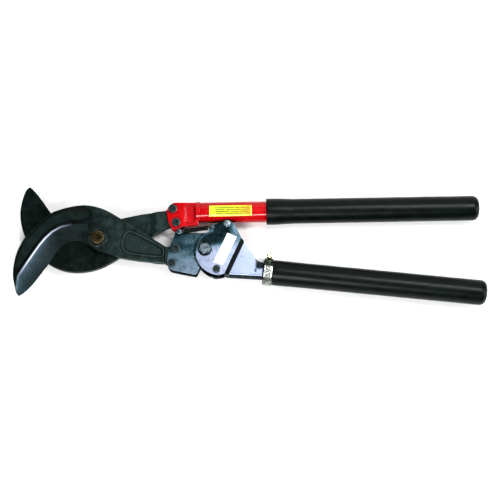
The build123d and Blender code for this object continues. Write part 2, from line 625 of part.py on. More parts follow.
# Blank label on the front head plate.
with BuildPart() as plate_label:
    with BuildSketch(Plane.XY.offset(head_hi)):
        Polygon((196.8, 7.3), (211.0, 1.1), (190.3, -43.1), (175.9, -38.4), align=None)
    extrude(amount=0.25)
plate_label.part.label = "plate_label"
export_step(plate_label.part, "parts/plate_label.step")

# Pivot bolt of the head, its lock washer and its jam nut.
with BuildPart() as pivot_bolt:
    with BuildSketch(Plane.XY.offset(head_lo - 5.9)):
        with Locations(pivot):
            Circle(pivot_r)
    extrude(amount=34.4 - (head_lo - 5.9))
    with BuildSketch(Plane.XY.offset(34.4)):
        with Locations(pivot):
            RegularPolygon(9.8, 6, rotation=12)
    extrude(amount=5.2)
    chamfer(pivot_bolt.edges().group_by(Axis.Z)[-1], 0.8)
pivot_bolt.part.label = "pivot_bolt"
export_step(pivot_bolt.part, "parts/pivot_bolt.step")

with BuildPart() as pivot_lock_washer:
    with BuildSketch(Plane.XY.offset(head_hi)):
        with Locations(pivot):
            Circle(10.3)
        with Locations((156.9, -9.8)):
            Circle(3.2)
        with Locations(pivot):
            Circle(pivot_r, mode=Mode.SUBTRACT)
    extrude(amount=1.1)
pivot_lock_washer.part.label = "pivot_lock_washer"
export_step(pivot_lock_washer.part, "parts/pivot_lock_washer.step")

with BuildPart() as pivot_nut:
    with BuildSketch(Plane.XY.offset(head_lo - 5.9)):
        with Locations(pivot):
            RegularPolygon(12.2, 6)
            Circle(pivot_r, mode=Mode.SUBTRACT)
    extrude(amount=5.9)
pivot_nut.part.label = "pivot_nut"
export_step(pivot_nut.part, "parts/pivot_nut.step")

# Stop pin: rests against the red tube when the handles are closed.
with BuildPart() as stop_pin:
    with BuildSketch(Plane.XY.offset(head_lo - 2.2)):
        with Locations(stop_at):
            Circle(5.0)
    extrude(amount=2.2)
    with BuildSketch(Plane.XY.offset(head_lo)):
        with Locations(stop_at):
            Circle(bolt_r)
    extrude(amount=head_hi - head_lo)
    with BuildSketch(Plane.XY.offset(head_hi)):
        with Locations(stop_at):
            Circle(5.2)
    extrude(amount=1.0)
    with BuildSketch(Plane.XY.offset(head_hi + 1.0)):
        with Locations(stop_at):
            Circle(3.9)
    extrude(amount=2.0)
    fillet(stop_pin.edges().group_by(Axis.Z)[-1], 1.2)
stop_pin.part.label = "stop_pin"
export_step(stop_pin.part, "parts/stop_pin.step")

# ================================================================= pawl
with BuildPart() as pawl_bolt:
    with BuildSketch(Plane.XY.offset(head_lo - 5.2)):
        with Locations(pawl_pin):
            Circle(bolt_r)
    extrude(amount=head_hi - head_lo + 5.2)
    with BuildSketch(Plane.XY.offset(head_hi)):
        with Locations(pawl_pin):
            Circle(5.6)
    extrude(amount=3.4)
    fillet(pawl_bolt.edges().group_by(Axis.Z)[-1], 0.7)
    with BuildSketch(Plane.XY.offset(head_hi + 3.4)):
        with Locations(pawl_pin):
            RegularPolygon(3.0, 6)
    extrude(amount=-2.2, mode=Mode.SUBTRACT)
pawl_bolt.part.label = "pawl_bolt"
export_step(pawl_bolt.part, "parts/pawl_bolt.step")

with BuildPart() as pawl_nut:
    with BuildSketch(Plane.XY.offset(head_lo - 5.2)):
        with Locations(pawl_pin):
            RegularPolygon(7.0, 6)
            Circle(bolt_r, mode=Mode.SUBTRACT)
    extrude(amount=5.2)
pawl_nut.part.label = "pawl_nut"
export_step(pawl_nut.part, "parts/pawl_nut.step")

with BuildPart() as pawl_spacers:
    for z0, z1 in ((head_lo + head_t, 15.8), (24.2, head_hi - head_t)):
        with BuildSketch(Plane.XY.offset(z0)):
            with Locations(pawl_pin):
                Circle(5.0)
                Circle(bolt_r, mode=Mode.SUBTRACT)
        extrude(amount=z1 - z0)
pawl_spacers.part.label = "pawl_spacers"
export_step(pawl_spacers.part, "parts/pawl_spacers.step")

with BuildPart() as pawl_spring:
    with BuildSketch(Plane.XY.offset(24.5)):
        with Locations(pawl_pin):
            Circle(6.4)
            Circle(5.2, mode=Mode.SUBTRACT)
    extrude(amount=4.3)
pawl_spring.part.label = "pawl_spring"
export_step(pawl_spring.part, "parts/pawl_spring.step")

# The pawl stands on its bolt, its nose beside the teeth, its release tab out of the
# bottom of the head. Its points are given seated, then turned back by the lift.
seat = [pol(20.9, face0 - 0.6), pol(25.6, face0 - 0.4), (30.0, -9.0), (28.4, -20.0), (24.3, -28.6),
        (24.2, -33.0), (22.6, -39.4), (19.0, -42.4), (14.6, -42.4), (11.4, -39.6), (11.3, -33.0),
        (12.0, -28.2), (15.0, -25.2), (19.1, -19.2), (21.65, -12.5), pol(23.7, face0 - 8.6)]
nose = [turn((p[0] + pivot[0], p[1] + pivot[1]), pawl_pin, -lift) for p in seat]
with BuildPart() as ratchet_pawl:
    with BuildSketch(Plane.XY.offset(16.0)):
        Polygon(*nose, align=None)
        with Locations(pawl_pin):
            Circle(6.5)
            Circle(bolt_r + 0.05, mode=Mode.SUBTRACT)
    extrude(amount=8.0)
ratchet_pawl.part.label = "ratchet_pawl"
export_step(ratchet_pawl.part, "parts/ratchet_pawl.step")

# ================================================================= lower handle
with BuildPart() as lower_tube:
    with BuildSketch(axis_plane(lo_pt, lo_dir, lo_off)):
        Circle(low_tube_r)
        Circle(low_tube_bore, mode=Mode.SUBTRACT)
    extrude(amount=318.0)
lower_tube.part.label = "lower_tube"
export_step(lower_tube.part, "parts/lower_tube.step")

lo_end = 339.0
with BuildPart() as lower_grip:
    with BuildSketch(Plane(origin=(mouth[0], mouth[1], z_mid),
                           x_dir=(cos(radians(lo_dir)), sin(radians(lo_dir)), 0),
                           z_dir=(sin(radians(lo_dir)), -cos(radians(lo_dir)), 0))):
        with BuildLine():
            Polyline((0.3, low_tube_r), (0.3, 18.6), (15.2, 18.6), (16.4, 19.2), (60.0, grip_r),
                     (lo_end - 9.0, grip_r))
            ThreePointArc((lo_end - 9.0, grip_r), (lo_end - 2.4, grip_r - 3.2), (lo_end, grip_r - 9.5))
            Polyline((lo_end, grip_r - 9.5), (lo_end, 0), (318.0, 0), (318.0, low_tube_r), (0.3, low_tube_r))
        make_face()
    revolve(axis=Axis((mouth[0], mouth[1], z_mid), (cos(radians(lo_dir)), sin(radians(lo_dir)), 0)))
lower_grip.part.label = "lower_grip"
export_step(lower_grip.part, "parts/lower_grip.step")

# Worm-drive clamp round the front of the grip.
band_0, band_w = 1.4, 13.0
with BuildPart() as clamp_band:
    with BuildSketch(axis_plane(lo_pt, lo_dir, lo_off + band_0)):
        Circle(lip_r)
        Circle(18.6, mode=Mode.SUBTRACT)
    extrude(amount=band_w)
clamp_band.part.label = "clamp_band"
export_step(clamp_band.part, "parts/clamp_band.step")

screw_c = along(lo_pt, lo_dir, lo_off + band_0 + band_w / 2 + 0.4, 24.0)
with BuildPart() as clamp_housing:
    with BuildSketch(axis_plane(lo_pt, lo_dir, lo_off + band_0)):
        with Locations((23.6, 0)):
            RectangleRounded(9.4, 14.0, 1.5)
        Circle(lip_r, mode=Mode.SUBTRACT)
    extrude(amount=band_w)
    with BuildSketch(Plane.XY):
        with Locations(screw_c):
            Circle(3.0)
    extrude(amount=60, mode=Mode.SUBTRACT)
clamp_housing.part.label = "clamp_housing"
export_step(clamp_housing.part, "parts/clamp_housing.step")

with BuildPart() as clamp_screw:
    with BuildSketch(Plane.XY.offset(14.0)):
        with Locations(screw_c):
            Circle(3.0)
    extrude(amount=13.0)
    with BuildSketch(Plane.XY.offset(27.0)):
        with Locations(screw_c):
            Circle(4.6)
    extrude(amount=5.0)
    fillet(clamp_screw.edges().group_by(Axis.Z)[-1], 1.6)
    with BuildSketch(Plane.XY.offset(32.0)):
        with Locations(Location((screw_c[0], screw_c[1], 0), (0, 0, 25))):
            Rectangle(12, 1.3)
    extrude(amount=-1.8, mode=Mode.SUBTRACT)
clamp_screw.part.label = "clamp_screw"
export_step(clamp_screw.part, "parts/clamp_screw.step")
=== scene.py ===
import json, math, random
import bpy, bmesh
import numpy as np
from mathutils import Vector, Matrix


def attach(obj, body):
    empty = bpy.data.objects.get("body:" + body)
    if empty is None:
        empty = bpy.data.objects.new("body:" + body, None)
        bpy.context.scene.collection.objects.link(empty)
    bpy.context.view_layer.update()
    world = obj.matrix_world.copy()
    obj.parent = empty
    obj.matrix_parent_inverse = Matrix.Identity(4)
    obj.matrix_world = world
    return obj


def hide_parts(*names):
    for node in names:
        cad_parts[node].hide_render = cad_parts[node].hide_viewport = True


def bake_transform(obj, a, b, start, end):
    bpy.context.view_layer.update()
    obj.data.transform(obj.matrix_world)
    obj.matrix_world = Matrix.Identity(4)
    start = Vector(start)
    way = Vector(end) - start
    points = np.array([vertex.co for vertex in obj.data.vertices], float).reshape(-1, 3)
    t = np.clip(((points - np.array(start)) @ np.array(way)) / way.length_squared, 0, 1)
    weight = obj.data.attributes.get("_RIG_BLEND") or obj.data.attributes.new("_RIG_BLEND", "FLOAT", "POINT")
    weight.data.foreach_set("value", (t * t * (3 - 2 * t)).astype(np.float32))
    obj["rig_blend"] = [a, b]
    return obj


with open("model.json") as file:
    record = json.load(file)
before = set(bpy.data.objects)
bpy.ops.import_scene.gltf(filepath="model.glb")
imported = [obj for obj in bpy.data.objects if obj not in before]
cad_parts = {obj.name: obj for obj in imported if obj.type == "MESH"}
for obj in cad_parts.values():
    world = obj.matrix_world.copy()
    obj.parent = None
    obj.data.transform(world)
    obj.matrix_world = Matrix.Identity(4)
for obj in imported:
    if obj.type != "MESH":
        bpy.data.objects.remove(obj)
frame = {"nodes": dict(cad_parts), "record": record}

random.seed(7)
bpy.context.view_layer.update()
NODES = frame["nodes"]
BODY = {n: b for b, ns in frame["record"]["behaviour"]["bodies"].items() for n in ns}
SLOT = {s["node"]: s["material_slot"] for s in frame["record"]["subparts"]}
MM = 0.001
ZM = 20.0
UP_PT, UP_DIR = (155.0, 42.15), 1.05
LO_PT, LO_DIR = (250.6, -50.2297), -5.63
STUD, ANCHOR, SPRING_Z = (123.9, 8.2), (174.3, 15.8), 34.3
sc = bpy.context.scene


# ------------------------------------------------------------------ materials
class Mat:
    "A small builder for procedural materials."
    def __init__(self, name):
        self.m = bpy.data.materials.new(name)
        self.m.use_nodes = True
        self.t = self.m.node_tree
        self.t.nodes.clear()
        self.out = self.t.nodes.new("ShaderNodeOutputMaterial")
        self.p = self.t.nodes.new("ShaderNodeBsdfPrincipled")
        self.t.links.new(self.p.outputs["BSDF"], self.out.inputs["Surface"])
        self.co = self.t.nodes.new("ShaderNodeTexCoord").outputs["Object"]

    def n(self, kind, **kw):
        node = self.t.nodes.new(kind)
        for k, v in kw.items():
            setattr(node, k, v)
        return node

    def link(self, a, b):
        self.t.links.new(a, b)

    def mapped(self, scale=(1, 1, 1), rot=(0, 0, 0), src=None):
        mp = self.n("ShaderNodeMapping")
        mp.inputs["Scale"].default_value = scale
        mp.inputs["Rotation"].default_value = rot
        self.link(src or self.co, mp.inputs["Vector"])
        return mp.outputs["Vector"]

    def noise(self, scale, detail=4, rough=0.55, vec=None, dist=0.0):
        nz = self.n("ShaderNodeTexNoise")
        nz.inputs["Scale"].default_value = scale
        nz.inputs["Detail"].default_value = detail
        nz.inputs["Roughness"].default_value = rough
        nz.inputs["Distortion"].default_value = dist
        self.link(vec or self.co, nz.inputs["Vector"])
        return nz.outputs["Fac"]

    def voro(self, scale, vec=None, feature="F1", out="Distance"):
        v = self.n("ShaderNodeTexVoronoi", feature=feature)
        v.inputs["Scale"].default_value = scale
        self.link(vec or self.co, v.inputs["Vector"])
        return v.outputs[out]

    def ramp(self, src, stops, interp="LINEAR"):
        r = self.n("ShaderNodeValToRGB")
        r.color_ramp.interpolation = interp
        els = r.color_ramp.elements
        while len(els) < len(stops):
            els.new(0.5)
        for e, (pos, col) in zip(els, stops):
            e.position = pos
            e.color = (*col, 1) if len(col) == 3 else col
        self.link(src, r.inputs["Fac"])
        return r.outputs["Color"]

    def rng(self, src, a, b, lo, hi):
        r = self.n("ShaderNodeMapRange")
        r.inputs["From Min"].default_value = a
        r.inputs["From Max"].default_value = b
        r.inputs["To Min"].default_value = lo
        r.inputs["To Max"].default_value = hi
        self.link(src, r.inputs["Value"])
        return r.outputs["Result"]

    def math(self, op, a, b=None, clamp=False):
        mnode = self.n("ShaderNodeMath", operation=op, use_clamp=clamp)
        for i, v in enumerate((a, b)):
            if v is None:
                continue
            if isinstance(v, (int, float)):
                mnode.inputs[i].default_value = v
            else:
                self.link(v, mnode.inputs[i])
        return mnode.outputs[0]

    def mix(self, fac, a, b, blend="MIX"):
        mx = self.n("ShaderNodeMix", data_type="RGBA", blend_type=blend)
        ins = {"f": mx.inputs[0], "a": mx.inputs[6], "b": mx.inputs[7]}
        for key, v in (("f", fac), ("a", a), ("b", b)):
            if isinstance(v, (int, float)):
                ins[key].default_value = v
            elif isinstance(v, tuple):
                ins[key].default_value = (*v, 1)
            else:
                self.link(v, ins[key])
        return mx.outputs[2]

    def attr(self, name):
        a = self.n("ShaderNodeAttribute", attribute_name=name)
        return a.outputs["Fac"]

    def bump(self, src, strength, dist, normal=None):
        b = self.n("ShaderNodeBump")
        b.inputs["Strength"].default_value = strength
        b.inputs["Distance"].default_value = dist
        self.link(src, b.inputs["Height"])
        if normal is not None:
            self.link(normal, b.inputs["Normal"])
        return b.outputs["Normal"]

    def done(self, color=None, rough=None, normal=None, metallic=None, **sock):
        def put(name, v):
            s = self.p.inputs[name]
            if isinstance(v, (int, float)):
                s.default_value = v
            elif isinstance(v, tuple):
                s.default_value = (*v, 1)
            else:
                self.link(v, s)
        if color is not None:
            put("Base Color", color)
        if rough is not None:
            put("Roughness", rough)
        if metallic is not None:
            put("Metallic", metallic)
        if normal is not None:
            self.link(normal, self.p.inputs["Normal"])
        for k, v in sock.items():
            self.p.inputs[k.replace("_", " ")].default_value = v
        return self.m


def mat_forged():
    """Dark blued forging: mottled scale, edges lighter from wear and painted highlight, ground bevel with painted
    sheen, painted ridge highlight, painted shade lines, painted rim highlight.
    """
    m = Mat("forged_steel")
    big = m.noise(26, 3, 0.6)
    mid = m.noise(110, 5, 0.62)
    fine = m.noise(800, 4, 0.65)
    base = m.ramp(m.math("ADD", m.math("MULTIPLY", big, 0.5), m.math("MULTIPLY", mid, 0.5)),
                  [(0.34, (0.0022, 0.0060, 0.0052)), (0.50, (0.0060, 0.0125, 0.0112)), (0.68, (0.0150, 0.0260, 0.0240))])
    rust = m.rng(m.noise(60, 5, 0.7), 0.60, 0.78, 0.0, 0.35)
    base = m.mix(rust, base, (0.020, 0.020, 0.010))
    tail = m.attr("tail")
    base = m.mix(m.math("MULTIPLY", tail, m.rng(mid, 0.35, 0.65, 0.35, 1.0)), base, (0.034, 0.058, 0.054))
    base = m.mix(m.attr("panel"), base, m.mix(mid, (0.012, 0.024, 0.021), (0.034, 0.056, 0.054)))
    # painted highlight on the raised rim round the tail panel
    base = m.mix(m.attr("rim"), base, (0.060, 0.088, 0.086))
    # dark lines on panel outlines and beside the bevel: painted shade
    base = m.mix(m.attr("shade_lines"), base, (0.0012, 0.0022, 0.0020))
    # ground bevel; its fall-off away from the ridge and along the blade is painted sheen
    bevel_and_sheen = m.attr("bevel_and_sheen")
    # painted highlight along the ridge of the bevel
    ridge = m.attr("ridge")
    along = m.noise(1.0, 4, 0.6, vec=m.mapped((900, 60, 60), (0, 0, math.radians(-58))))
    ground = m.ramp(along, [(0.3, (0.055, 0.100, 0.125)), (0.7, (0.125, 0.180, 0.215))])
    ground = m.mix(m.rng(m.noise(45, 4, 0.6), 0.45, 0.75, 0.0, 0.5), ground, (0.030, 0.050, 0.060))
    col = m.mix(bevel_and_sheen, base, ground)
    col = m.mix(ridge, col, (0.66, 0.70, 0.84))
    # convex edges lighter: part wear, part painted highlight
    wear_and_glint = m.attr("wear_and_glint")
    wear_glint_mottled = m.math("MULTIPLY", wear_and_glint, m.rng(m.noise(240, 4, 0.7), 0.35, 0.65, 0.1, 1.0))
    col = m.mix(m.math("MULTIPLY", wear_glint_mottled, 0.45), col, (0.075, 0.100, 0.100))
    rough = m.math("ADD", m.rng(mid, 0.3, 0.7, 0.36, 0.50), m.math("MULTIPLY", bevel_and_sheen, -0.08))
    nb = m.bump(mid, 0.40, 0.0007)
    nb = m.bump(fine, 0.36, 0.00018, nb)
    nb = m.bump(along, 0.10, 0.0001, nb)
    return m.done(col, rough, nb, m.rng(bevel_and_sheen, 0, 1, 0.22, 0.55), Specular_IOR_Level=0.22)


def mat_plate():
    """Sheet steel: painted reflection, blue-black at the top, pale towards the lower corner; steep cut edges painted
    black as shade.
    """
    m = Mat("plate_steel")
    big = m.noise(24, 4, 0.6)
    mid = m.noise(100, 5, 0.62)
    brush = m.noise(1.0, 3, 0.6, vec=m.mapped((60, 1400, 300), (0, 0, math.radians(18))))
    # painted light: the plate's reflection as a tone ramp, mottled by noise
    painted_light = m.math("ADD", m.attr("painted_light"), m.math("MULTIPLY", m.math("SUBTRACT", big, 0.5), 0.55))
    painted_light = m.math("ADD", painted_light, m.math("MULTIPLY", m.math("SUBTRACT", mid, 0.5), 0.35))
    base = m.ramp(painted_light, [(0.0, (0.004, 0.013, 0.015)), (0.28, (0.036, 0.080, 0.098)), (0.50, (0.150, 0.225, 0.280)),
                         (0.74, (0.30, 0.355, 0.47)), (1.0, (0.40, 0.445, 0.58))])
    stain = m.rng(m.noise(30, 5, 0.62), 0.50, 0.80, 0.0, 0.55)
    base = m.mix(stain, base, (0.045, 0.080, 0.095))
    # bevelled edges paler: part wear, part painted highlight
    wear_and_glint = m.attr("wear_and_glint")
    base = m.mix(m.math("MULTIPLY", wear_and_glint, 0.45), base, (0.42, 0.52, 0.58))
    scratch = m.rng(m.noise(1.0, 2, 0.4, vec=m.mapped((35, 2600, 35), (0, 0, math.radians(-33)))), 0.70, 0.76, 0.0, 0.10)
    base = m.mix(scratch, base, (0.40, 0.48, 0.54))
    # steep side faces painted near black: painted shade
    base = m.mix(m.attr("side"), base, (0.0035, 0.0060, 0.0060))
    rough = m.math("ADD", m.rng(mid, 0.3, 0.7, 0.24, 0.34), m.math("MULTIPLY", stain, 0.10))
    rough = m.math("ADD", rough, m.math("MULTIPLY", m.attr("side"), 0.5))
    nb = m.bump(brush, 0.12, 0.0001)
    nb = m.bump(mid, 0.14, 0.0004, nb)
    return m.done(base, rough, nb, m.rng(m.attr("side"), 0, 1, 0.62, 0.0), Specular_IOR_Level=0.2)


def mat_bright():
    """Zinc-plated sheet: pale lavender, soft cloudy reflections, painted shade on the side walls and in the hollow.
    """
    m = Mat("zinc_steel")
    big = m.noise(30, 4, 0.6)
    mid = m.noise(150, 5, 0.62)
    base = m.ramp(big, [(0.30, (0.27, 0.335, 0.50)), (0.62, (0.35, 0.395, 0.52))])
    stain = m.rng(m.noise(70, 6, 0.7), 0.62, 0.80, 0.0, 0.30)
    base = m.mix(stain, base, (0.34, 0.42, 0.50))
    # convex edges near white: part wear, part painted highlight
    wear_and_glint = m.attr("wear_and_glint")
    base = m.mix(m.math("MULTIPLY", wear_and_glint, 0.4), base, (0.9, 0.9, 0.95))
    # painted shade: walls and hollow painted near black
    bracket_shade = m.math("MULTIPLY", m.attr("bracket_shade"), m.rng(mid, 0.2, 0.6, 0.85, 1.0), clamp=True)
    base = m.mix(bracket_shade, base, (0.006, 0.012, 0.012))
    rough = m.math("ADD", m.rng(mid, 0.3, 0.7, 0.26, 0.40), m.math("MULTIPLY", bracket_shade, 0.55))
    nb = m.bump(mid, 0.10, 0.0003)
    return m.done(base, rough, nb, m.rng(bracket_shade, 0, 1, 0.55, 0.0), Specular_IOR_Level=0.25)


def mat_dull(name, lo, hi, met=0.8):
    "Plated hardware gone dull."
    m = Mat(name)
    mid = m.noise(260, 5, 0.62)
    base = m.ramp(mid, [(0.34, lo), (0.68, hi)])
    # edges paler: part wear, part painted highlight
    base = m.mix(m.math("MULTIPLY", m.attr("wear_and_glint"), m.rng(m.noise(420, 3, 0.6), 0.35, 0.6, 0.3, 1.0)), base,
                 tuple(min(1.0, v * 2.4) for v in hi))
    # steep side faces painted dark: painted shade
    base = m.mix(m.math("MULTIPLY", m.attr("side"), 0.88), base, (0.008, 0.013, 0.013))
    nb = m.bump(mid, 0.18, 0.0002)
    return m.done(base, m.rng(mid, 0.3, 0.7, 0.24, 0.38), nb, met)


def mat_black():
    """Black-oxide hardware: satin, with paler worn spots and painted edge highlights."""
    m = Mat("black_oxide")
    mid = m.noise(260, 5, 0.62)
    base = m.ramp(mid, [(0.35, (0.003, 0.006, 0.006)), (0.7, (0.013, 0.020, 0.020))])
    # edges paler: part wear, part painted highlight
    wear_and_glint = m.attr("wear_and_glint")
    base = m.mix(m.math("MULTIPLY", wear_and_glint, m.rng(m.noise(420, 3, 0.6), 0.4, 0.6, 0.2, 0.9)), base, (0.14, 0.16, 0.165))
    nb = m.bump(m.noise(1500, 3, 0.6), 0.2, 0.0001)
    return m.done(base, m.rng(mid, 0.3, 0.7, 0.32, 0.5), nb, 0.1, Specular_IOR_Level=0.14)


def mat_red():
    """Red enamel: slight orange peel, dusty in places, chipped edges painted lighter as highlight, creases painted
    dark as shade.
    """
    m = Mat("red_enamel")
    peel = m.noise(420, 3, 0.5)
    big = m.noise(26, 3, 0.6)
    base = m.ramp(big, [(0.3, (0.35, 0.003, 0.010)), (0.7, (0.50, 0.009, 0.014))])
    # edges: chips, painted lighter pink as highlight
    chip_glint = m.math("MULTIPLY", m.attr("wear_and_glint"), m.rng(m.noise(330, 5, 0.7), 0.52, 0.60, 0.0, 1.0), clamp=True)
    base = m.mix(m.math("MULTIPLY", chip_glint, 0.70), base, (0.72, 0.22, 0.24))
    dust = m.rng(m.noise(90, 5, 0.7), 0.55, 0.8, 0.0, 0.16)
    base = m.mix(dust, base, (0.75, 0.28, 0.22))
    nb = m.bump(peel, 0.02, 0.0003)
    nb = m.bump(chip_glint, 0.25, 0.0002, nb)
    # concave creases painted dark: painted shade
    base = m.mix(m.math("MULTIPLY", m.attr("shade_lines"), 0.8), base, (0.10, 0.004, 0.006))
    return m.done(base, m.rng(peel, 0.3, 0.7, 0.20, 0.30), nb, 0.0, Coat_Weight=0.45, Coat_Roughness=0.04,
                  Specular_IOR_Level=0.1)


def mat_rubber():
    "Moulded rubber sleeve: satin, fine grain, light scuffs."
    m = Mat("grip_rubber")
    grain = m.voro(1100)
    mid = m.noise(70, 5, 0.6)
    base = m.ramp(mid, [(0.3, (0.0012, 0.0042, 0.0036)), (0.7, (0.0040, 0.0095, 0.0085))])
    scuff = m.rng(m.noise(1.0, 4, 0.65, vec=m.mapped((40, 320, 320))), 0.60, 0.78, 0.0, 0.30)
    base = m.mix(scuff, base, (0.018, 0.027, 0.027))
    nb = m.bump(grain, 0.16, 0.00016)
    nb = m.bump(mid, 0.14, 0.0006, nb)
    return m.done(base, m.math("ADD", m.rng(mid, 0.3, 0.7, 0.34, 0.42), m.math("MULTIPLY", scuff, 0.4)), nb, 0.0,
                  Specular_IOR_Level=0.24)


def mat_spring():
    m = Mat("spring_wire")
    mid = m.noise(400, 4, 0.6)
    base = m.ramp(mid, [(0.3, (0.010, 0.014, 0.014)), (0.7, (0.040, 0.052, 0.050))])
    nb = m.bump(m.noise(1800, 2, 0.5), 0.15, 0.0001)
    return m.done(base, m.rng(mid, 0.3, 0.7, 0.26, 0.42), nb, 0.85)


def mat_bronze():
    m = Mat("tarnished_bronze")
    mid = m.noise(210, 5, 0.65)
    base = m.ramp(mid, [(0.3, (0.022, 0.020, 0.010)), (0.55, (0.065, 0.055, 0.026)), (0.75, (0.16, 0.11, 0.055))])
    # edges paler: part wear, part painted highlight
    base = m.mix(m.math("MULTIPLY", m.attr("wear_and_glint"), 0.5), base, (0.25, 0.18, 0.10))
    nb = m.bump(mid, 0.2, 0.0002)
    return m.done(base, m.rng(mid, 0.3, 0.7, 0.32, 0.52), nb, 0.8)


def mat_brass():
    m = Mat("brass_plate")
    mid = m.noise(300, 4, 0.6)
    base = m.ramp(mid, [(0.3, (0.66, 0.58, 0.32)), (0.7, (0.90, 0.85, 0.60))])
    nb = m.bump(m.noise(1600, 2, 0.5), 0.12, 0.0001)
    return m.done(base, m.rng(mid, 0.3, 0.7, 0.16, 0.30), nb, 0.9)


def mat_stainless():
    m = Mat("stainless_band")
    mid = m.noise(1.0, 4, 0.6, vec=m.mapped((1800, 90, 90), (0, 0, math.radians(LO_DIR))))
    big = m.noise(70, 4, 0.6)
    base = m.ramp(big, [(0.3, (0.62, 0.63, 0.60)), (0.6, (0.98, 0.99, 0.98))])
    # clamp slots painted near black: painted shade
    base = m.mix(m.math("MULTIPLY", m.attr("shade_lines"), 0.94), base, (0.018, 0.020, 0.012))
    # flanks of the band painted dark: painted shade
    base = m.mix(m.attr("flank_shade"), base, (0.030, 0.045, 0.030))
    nb = m.bump(mid, 0.12, 0.0001)
    return m.done(base, m.rng(big, 0.3, 0.7, 0.18, 0.32), nb, 0.9)


def mat_label_yellow():
    "Printed film with plain rules and bars only."
    m = Mat("label_yellow")
    uv = m.n("ShaderNodeUVMap").outputs["UV"]
    sep = m.n("ShaderNodeSeparateXYZ")
    m.link(uv, sep.inputs[0])
    u, v = sep.outputs[0], sep.outputs[1]
    base = m.ramp(u, [(0.0, (0.62, 0.80, 0.035)), (0.45, (0.74, 0.84, 0.04)), (0.74, (0.86, 0.66, 0.03)), (1.0, (0.80, 0.40, 0.03))])
    rows = m.math("FRACT", m.math("MULTIPLY", v, 6.0))
    line = m.math("MULTIPLY", m.math("GREATER_THAN", rows, 0.20), m.math("LESS_THAN", rows, 0.84))
    row_id = m.math("FLOOR", m.math("MULTIPLY", v, 6.0))
    cv = m.n("ShaderNodeCombineXYZ")
    m.link(m.math("MULTIPLY", u, 17.0), cv.inputs[0])
    m.link(m.math("MULTIPLY", row_id, 3.7), cv.inputs[1])
    brk = m.noise(1.0, 2, 0.5, vec=cv.outputs[0])
    seg = m.math("GREATER_THAN", brk, 0.38)
    zone = m.math("MULTIPLY", m.math("GREATER_THAN", u, 0.14), m.math("LESS_THAN", u, 0.95))
    zone = m.math("MULTIPLY", zone, m.math("MULTIPLY", m.math("GREATER_THAN", v, 0.12), m.math("LESS_THAN", v, 0.88)))
    bars = m.math("MULTIPLY", m.math("MULTIPLY", line, seg), zone)
    col = m.mix(m.math("MULTIPLY", bars, 0.88), base, (0.12, 0.15, 0.01))
    edge = m.math("MULTIPLY", m.math("LESS_THAN", u, 0.985), m.math("GREATER_THAN", u, 0.012))
    col = m.mix(m.math("MULTIPLY", m.math("SUBTRACT", 1.0, edge), 0.7), col, (0.9, 0.86, 0.30))
    nb = m.bump(m.noise(300, 3, 0.5), 0.05, 0.0002)
    return m.done(col, m.rng(m.noise(180, 3, 0.5), 0.3, 0.7, 0.24, 0.36), nb, 0.0)


def mat_label_white():
    m = Mat("label_white")
    mid = m.noise(140, 4, 0.6)
    base = m.ramp(mid, [(0.3, (0.90, 0.91, 0.91)), (0.7, (0.96, 0.96, 0.96))])
    nb = m.bump(m.noise(600, 3, 0.5), 0.06, 0.0002)
    return m.done(base, m.rng(mid, 0.3, 0.7, 0.30, 0.42), nb, 0.0)


M = {
    "blade_steel": mat_forged(), "red_paint": mat_red(), "black_oxide": mat_black(),
    "plate_steel": mat_plate(), "bright_steel": mat_bright(), "rubber": mat_rubber(),
    "label_yellow": mat_label_yellow(), "label_white": mat_label_white(), "spring_steel": mat_spring(),
    "bronze": mat_bronze(), "brass": mat_brass(), "stainless": mat_stainless(),
}


DULL = mat_dull("dull_zinc", (0.036, 0.055, 0.066), (0.105, 0.142, 0.162))
PALE = mat_dull("pale_zinc", (0.10, 0.135, 0.155), (0.24, 0.29, 0.33))
SOOT = mat_dull("sooty_steel", (0.014, 0.022, 0.022), (0.055, 0.078, 0.082), 0.45)


# ------------------------------------------------------------------ geometry helpers
def along(pt, ang, d, side=0.0):
    a = math.radians(ang)
    return (pt[0] + d * math.cos(a) - side * math.sin(a), pt[1] + d * math.sin(a) + side * math.cos(a))


def link(ob):
    sc.collection.objects.link(ob)
    return ob


def place(ob, node, mat=None):
    "ob stands for a CAD node: same body, same slot, its material."
    ob.data.materials.clear()
    ob.data.materials.append(mat or M[SLOT[node]])
    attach(ob, BODY[node])
    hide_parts(node)
    return ob


def clean_copy(node, name):
    "Welded copy of a CAD node's mesh with its flat faces merged."
    me = NODES[node].data.copy()
    me.materials.clear()
    bm = bmesh.new()
    bm.from_mesh(me)
    bmesh.ops.remove_doubles(bm, verts=bm.verts, dist=2e-6)
    for e in bm.edges:
        e.smooth = True
    for f in bm.faces:
        f.smooth = True
    bm.to_mesh(me)
    bm.free()
    me.name = name
    for a in [a.name for a in me.attributes if a.name in ("custom_normal", "sharp_edge")]:
        me.attributes.remove(me.attributes[a])
    return link(bpy.data.objects.new(name, me))


def baked(ob, name):
    "The evaluated mesh of ob as a plain object, modifiers applied."
    dg = bpy.context.evaluated_depsgraph_get()
    me = bpy.data.meshes.new_from_object(ob.evaluated_get(dg))
    me.name = name
    out = link(bpy.data.objects.new(name, me))
    old = ob.data
    bpy.data.objects.remove(ob)
    bpy.data.meshes.remove(old)
    return out


def set_attr(me, name, values):
    a = me.attributes.get(name) or me.attributes.new(name, "FLOAT", "POINT")
    a.data.foreach_set("value", np.asarray(values, np.float32))


def verts_of(me):
    co = np.zeros(len(me.vertices) * 3)
    me.vertices.foreach_get("co", co)
    return co.reshape(-1, 3)


def normals_of(me):
    no = np.zeros(len(me.vertices) * 3)
    me.vertex_normals.foreach_get("vector", no)
    return no.reshape(-1, 3)


